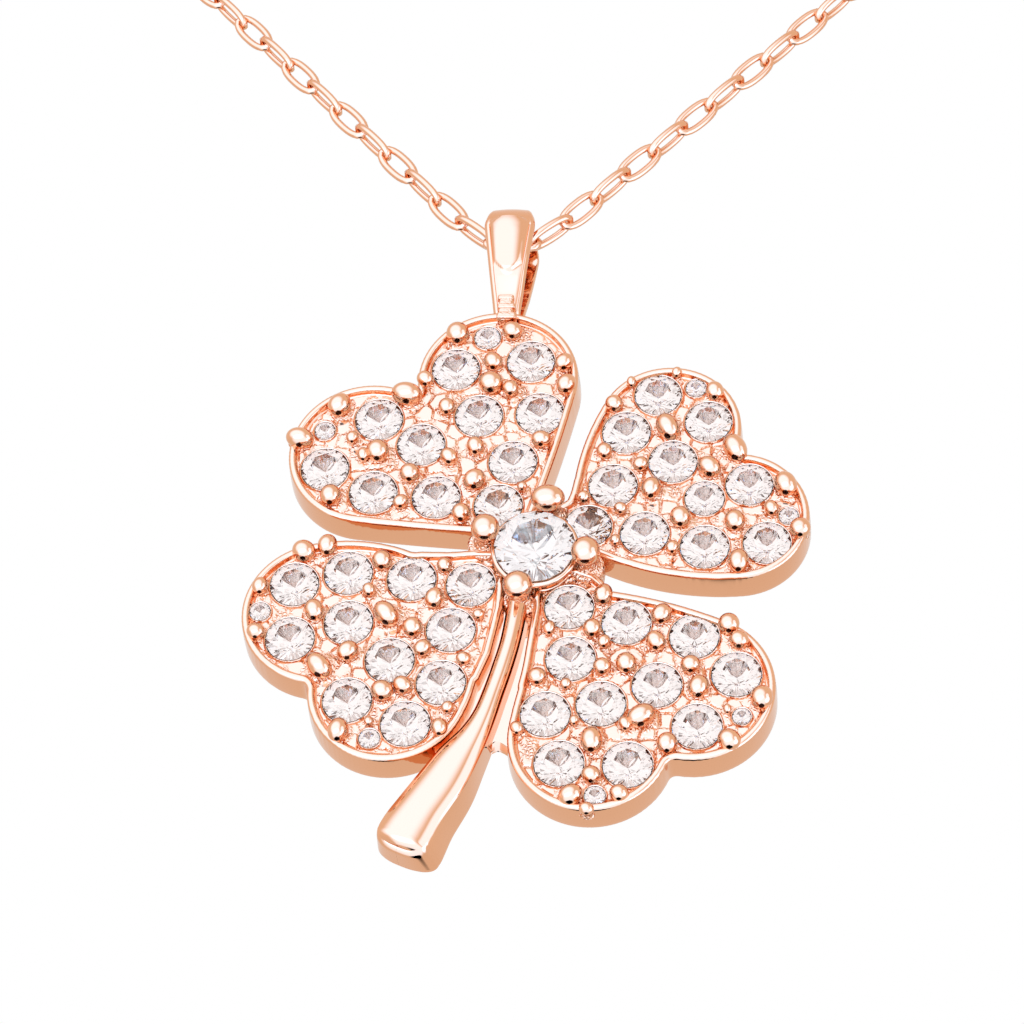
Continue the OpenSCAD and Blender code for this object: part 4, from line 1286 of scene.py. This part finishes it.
class CLOVER_OT_seats(bpy.types.Operator):
    """Build the cut seat round each pave stone"""

    bl_idname = "clover.seats"
    bl_label = "Stone seats"

    def execute(self, context):
        for name in PETALS:
            places = petal_places(name, STONES[name])
            radii = np.array(STONES[name])[:, 2]
            collars = revolve(np.stack([collar_profile(r) for r in radii]), places, 40)
            add_metalwork("seats_" + name, facing_out(skin(collars, closed_rows=True)),
                          metal("lip_gold", grain=0.15))
            cuts = cut_rings(radii, places)
            # The cut cones carry painted shade streaks in their mask.
            add_metalwork("seat_cuts_" + name, facing_out(skin(cuts, closed_rows=True)),
                          metal("bright_cut", masked=True, colour=SEAT_COLOUR), sharp=12,
                          masks=painted_cut_streaks(cuts))
        return {"FINISHED"}


class CLOVER_OT_beads(bpy.types.Operator):
    """Build the setting beads that hold the pave stones"""

    bl_idname = "clover.beads"
    bl_label = "Setting beads"

    def execute(self, context):
        rng = np.random.default_rng(7)
        around = 24
        for name in PETALS:
            rows = bead_rows(name)
            places = rows[:, :2]
            radii = rows[:, 2]
            profiles = np.stack([bead_profile(r) for r in radii])
            large = radii > NOTCH_BEAD
            turn = np.where(large, math.radians(NOTCH_TURNS[name]), rng.uniform(0, np.pi, len(rows)))
            stretch = np.where(large, NOTCH_STRETCH, rng.uniform(0.0, BEAD_STRETCH, len(rows)))
            rings = revolve(profiles, places, around, bead_squeeze(turn, stretch))
            # painted shade: a dark spot painted under each bead's head in place of a dark reflection
            masks = {"grain": foot_grain(len(rows), profiles.shape[1], foot_rows=4, around=around),
                     "painted_shade": painted_shade_under_head(rings, places, radii, BEAD, wide=0.26, deep=0.3)}
            add_metalwork("beads_" + name, facing_out(skin(rings)), metal("bead_gold", masked=True),
                          sharp=60, masks=masks)
        return {"FINISHED"}


class CLOVER_OT_centre_setting(bpy.types.Operator):
    """Build the hub, the rail and the four prongs of the centre stone"""

    bl_idname = "clover.centre_setting"
    bl_label = "Centre setting"

    def execute(self, context):
        add_metalwork("hub", join_skins(hub_skins()), metal("seat_gold", polish=0.08, grain=0.7))
        around = 40
        rings, places = prong_rings(around)
        radii = np.full(len(places), PRONG_HEAD)
        # painted shade: a dark spot painted under each prong's head in place of a dark reflection
        masks = {"grain": foot_grain(len(places), rings.shape[1], foot_rows=5, around=around),
                 "painted_shade": painted_shade_under_head(rings, places, radii, HEAD, wide=0.34, deep=0.16)}
        add_metalwork("prongs", facing_out(skin(rings)), metal("bead_gold", masked=True), sharp=60,
                      masks=masks)
        add_metalwork("rail", rail_skin(), metal("plain_gold"))
        cuts = revolve(CENTRE_CUT, [HUB], 32)
        # The centre cut carries painted shade streaks in its mask.
        add_metalwork("centre_cut", facing_out(skin(cuts, closed_rows=True)),
                      metal("cool_cut", masked=True, colour=COOL_SEAT_COLOUR), masks=painted_cut_streaks(cuts))
        return {"FINISHED"}


class CLOVER_OT_stem(bpy.types.Operator):
    """Build the curved stem and the low web under it"""

    bl_idname = "clover.stem"
    bl_label = "Stem"

    def execute(self, context):
        add_metalwork("stem", stem_skin(), metal("plain_gold"), sharp=34)
        add_metalwork("stem_web", web_skin(), metal("plain_gold"))
        return {"FINISHED"}


class CLOVER_OT_bail(bpy.types.Operator):
    """Build the bail and the lug that holds its foot"""

    bl_idname = "clover.bail"
    bl_label = "Bail"

    def execute(self, context):
        add_metalwork("bail", bail_skin(), metal("plain_gold"), HINGE)
        add_metalwork("bail_lug", join_skins(lug_skins()), metal("lug_gold", polish=0.1, grain=0.2), HINGE)
        return {"FINISHED"}


class CLOVER_OT_chain(bpy.types.Operator):
    """Build the links of the fine cable chain and the plain clasp"""

    bl_idname = "clover.chain"
    bl_label = "Chain"

    def execute(self, context):
        nape = np.zeros(3)
        add_piece("chain_links", chain_skin(context.scene.clover_sizes), nape,
                  metal("link_gold", chain=True), "necklace", sharp=80,
                  replaces=("chain",))
        add_piece("clasp_body", clasp_skin(), nape, metal("clasp_gold", chain=True),
                  "necklace", sharp=60, replaces=("clasp",))
        return {"FINISHED"}


class CLOVER_OT_stones(bpy.types.Operator):
    """Give the cut stones their clear materials"""

    bl_idname = "clover.stones"
    bl_label = "Stones"

    def execute(self, context):
        finish = context.scene.clover_finish
        pave = crystal_material("pave_crystal_clear", tuple(finish.crystal), PAVE_TINT)
        centre = crystal_material("centre_crystal_clear", tuple(finish.centre_crystal), CENTRE_TINT)
        for node, stone in frame["nodes"].items():
            if node.startswith("stones_") or node == "centre_stone":
                for slot in stone.material_slots:
                    slot.material = centre if node == "centre_stone" else pave
        return {"FINISHED"}


class CLOVER_OT_stage(bpy.types.Operator):
    """Set up the pale floor, the soft studio light and the camera"""

    bl_idname = "clover.stage"
    bl_label = "Stage"

    def execute(self, context):
        build_floor()
        build_studio(context.scene.clover_finish.studio)
        build_camera(context)
        return {"FINISHED"}


class CLOVER_PT_panel(bpy.types.Panel):
    """Lists the pendant's pieces and values"""

    bl_idname = "CLOVER_PT_panel"
    bl_label = "Clover pendant"
    bl_space_type = "VIEW_3D"
    bl_region_type = "UI"
    bl_category = "Clover pendant"

    def draw(self, context):
        layout = self.layout
        for group in (context.scene.clover_sizes, context.scene.clover_finish):
            for name in group.__annotations__:
                layout.prop(group, name)
        for operator in OPERATORS:
            layout.operator(operator.bl_idname)


OPERATORS = (CLOVER_OT_stage, CLOVER_OT_petals, CLOVER_OT_seats, CLOVER_OT_beads, CLOVER_OT_centre_setting,
             CLOVER_OT_stem, CLOVER_OT_bail, CLOVER_OT_chain, CLOVER_OT_stones)
CLASSES = (CloverSizes, CloverFinish) + OPERATORS + (CLOVER_PT_panel,)


def register():
    for item in CLASSES:
        bpy.utils.register_class(item)
    bpy.types.Scene.clover_sizes = bpy.props.PointerProperty(type=CloverSizes)
    bpy.types.Scene.clover_finish = bpy.props.PointerProperty(type=CloverFinish)


def unregister():
    del bpy.types.Scene.clover_finish
    del bpy.types.Scene.clover_sizes
    for item in reversed(CLASSES):
        bpy.utils.unregister_class(item)


def main():
    register()
    bpy.ops.clover.stage()
    bpy.ops.clover.petals()
    bpy.ops.clover.seats()
    bpy.ops.clover.beads()
    bpy.ops.clover.centre_setting()
    bpy.ops.clover.stem()
    bpy.ops.clover.bail()
    bpy.ops.clover.chain()
    bpy.ops.clover.stones()


if __name__ == "__main__":
    main()
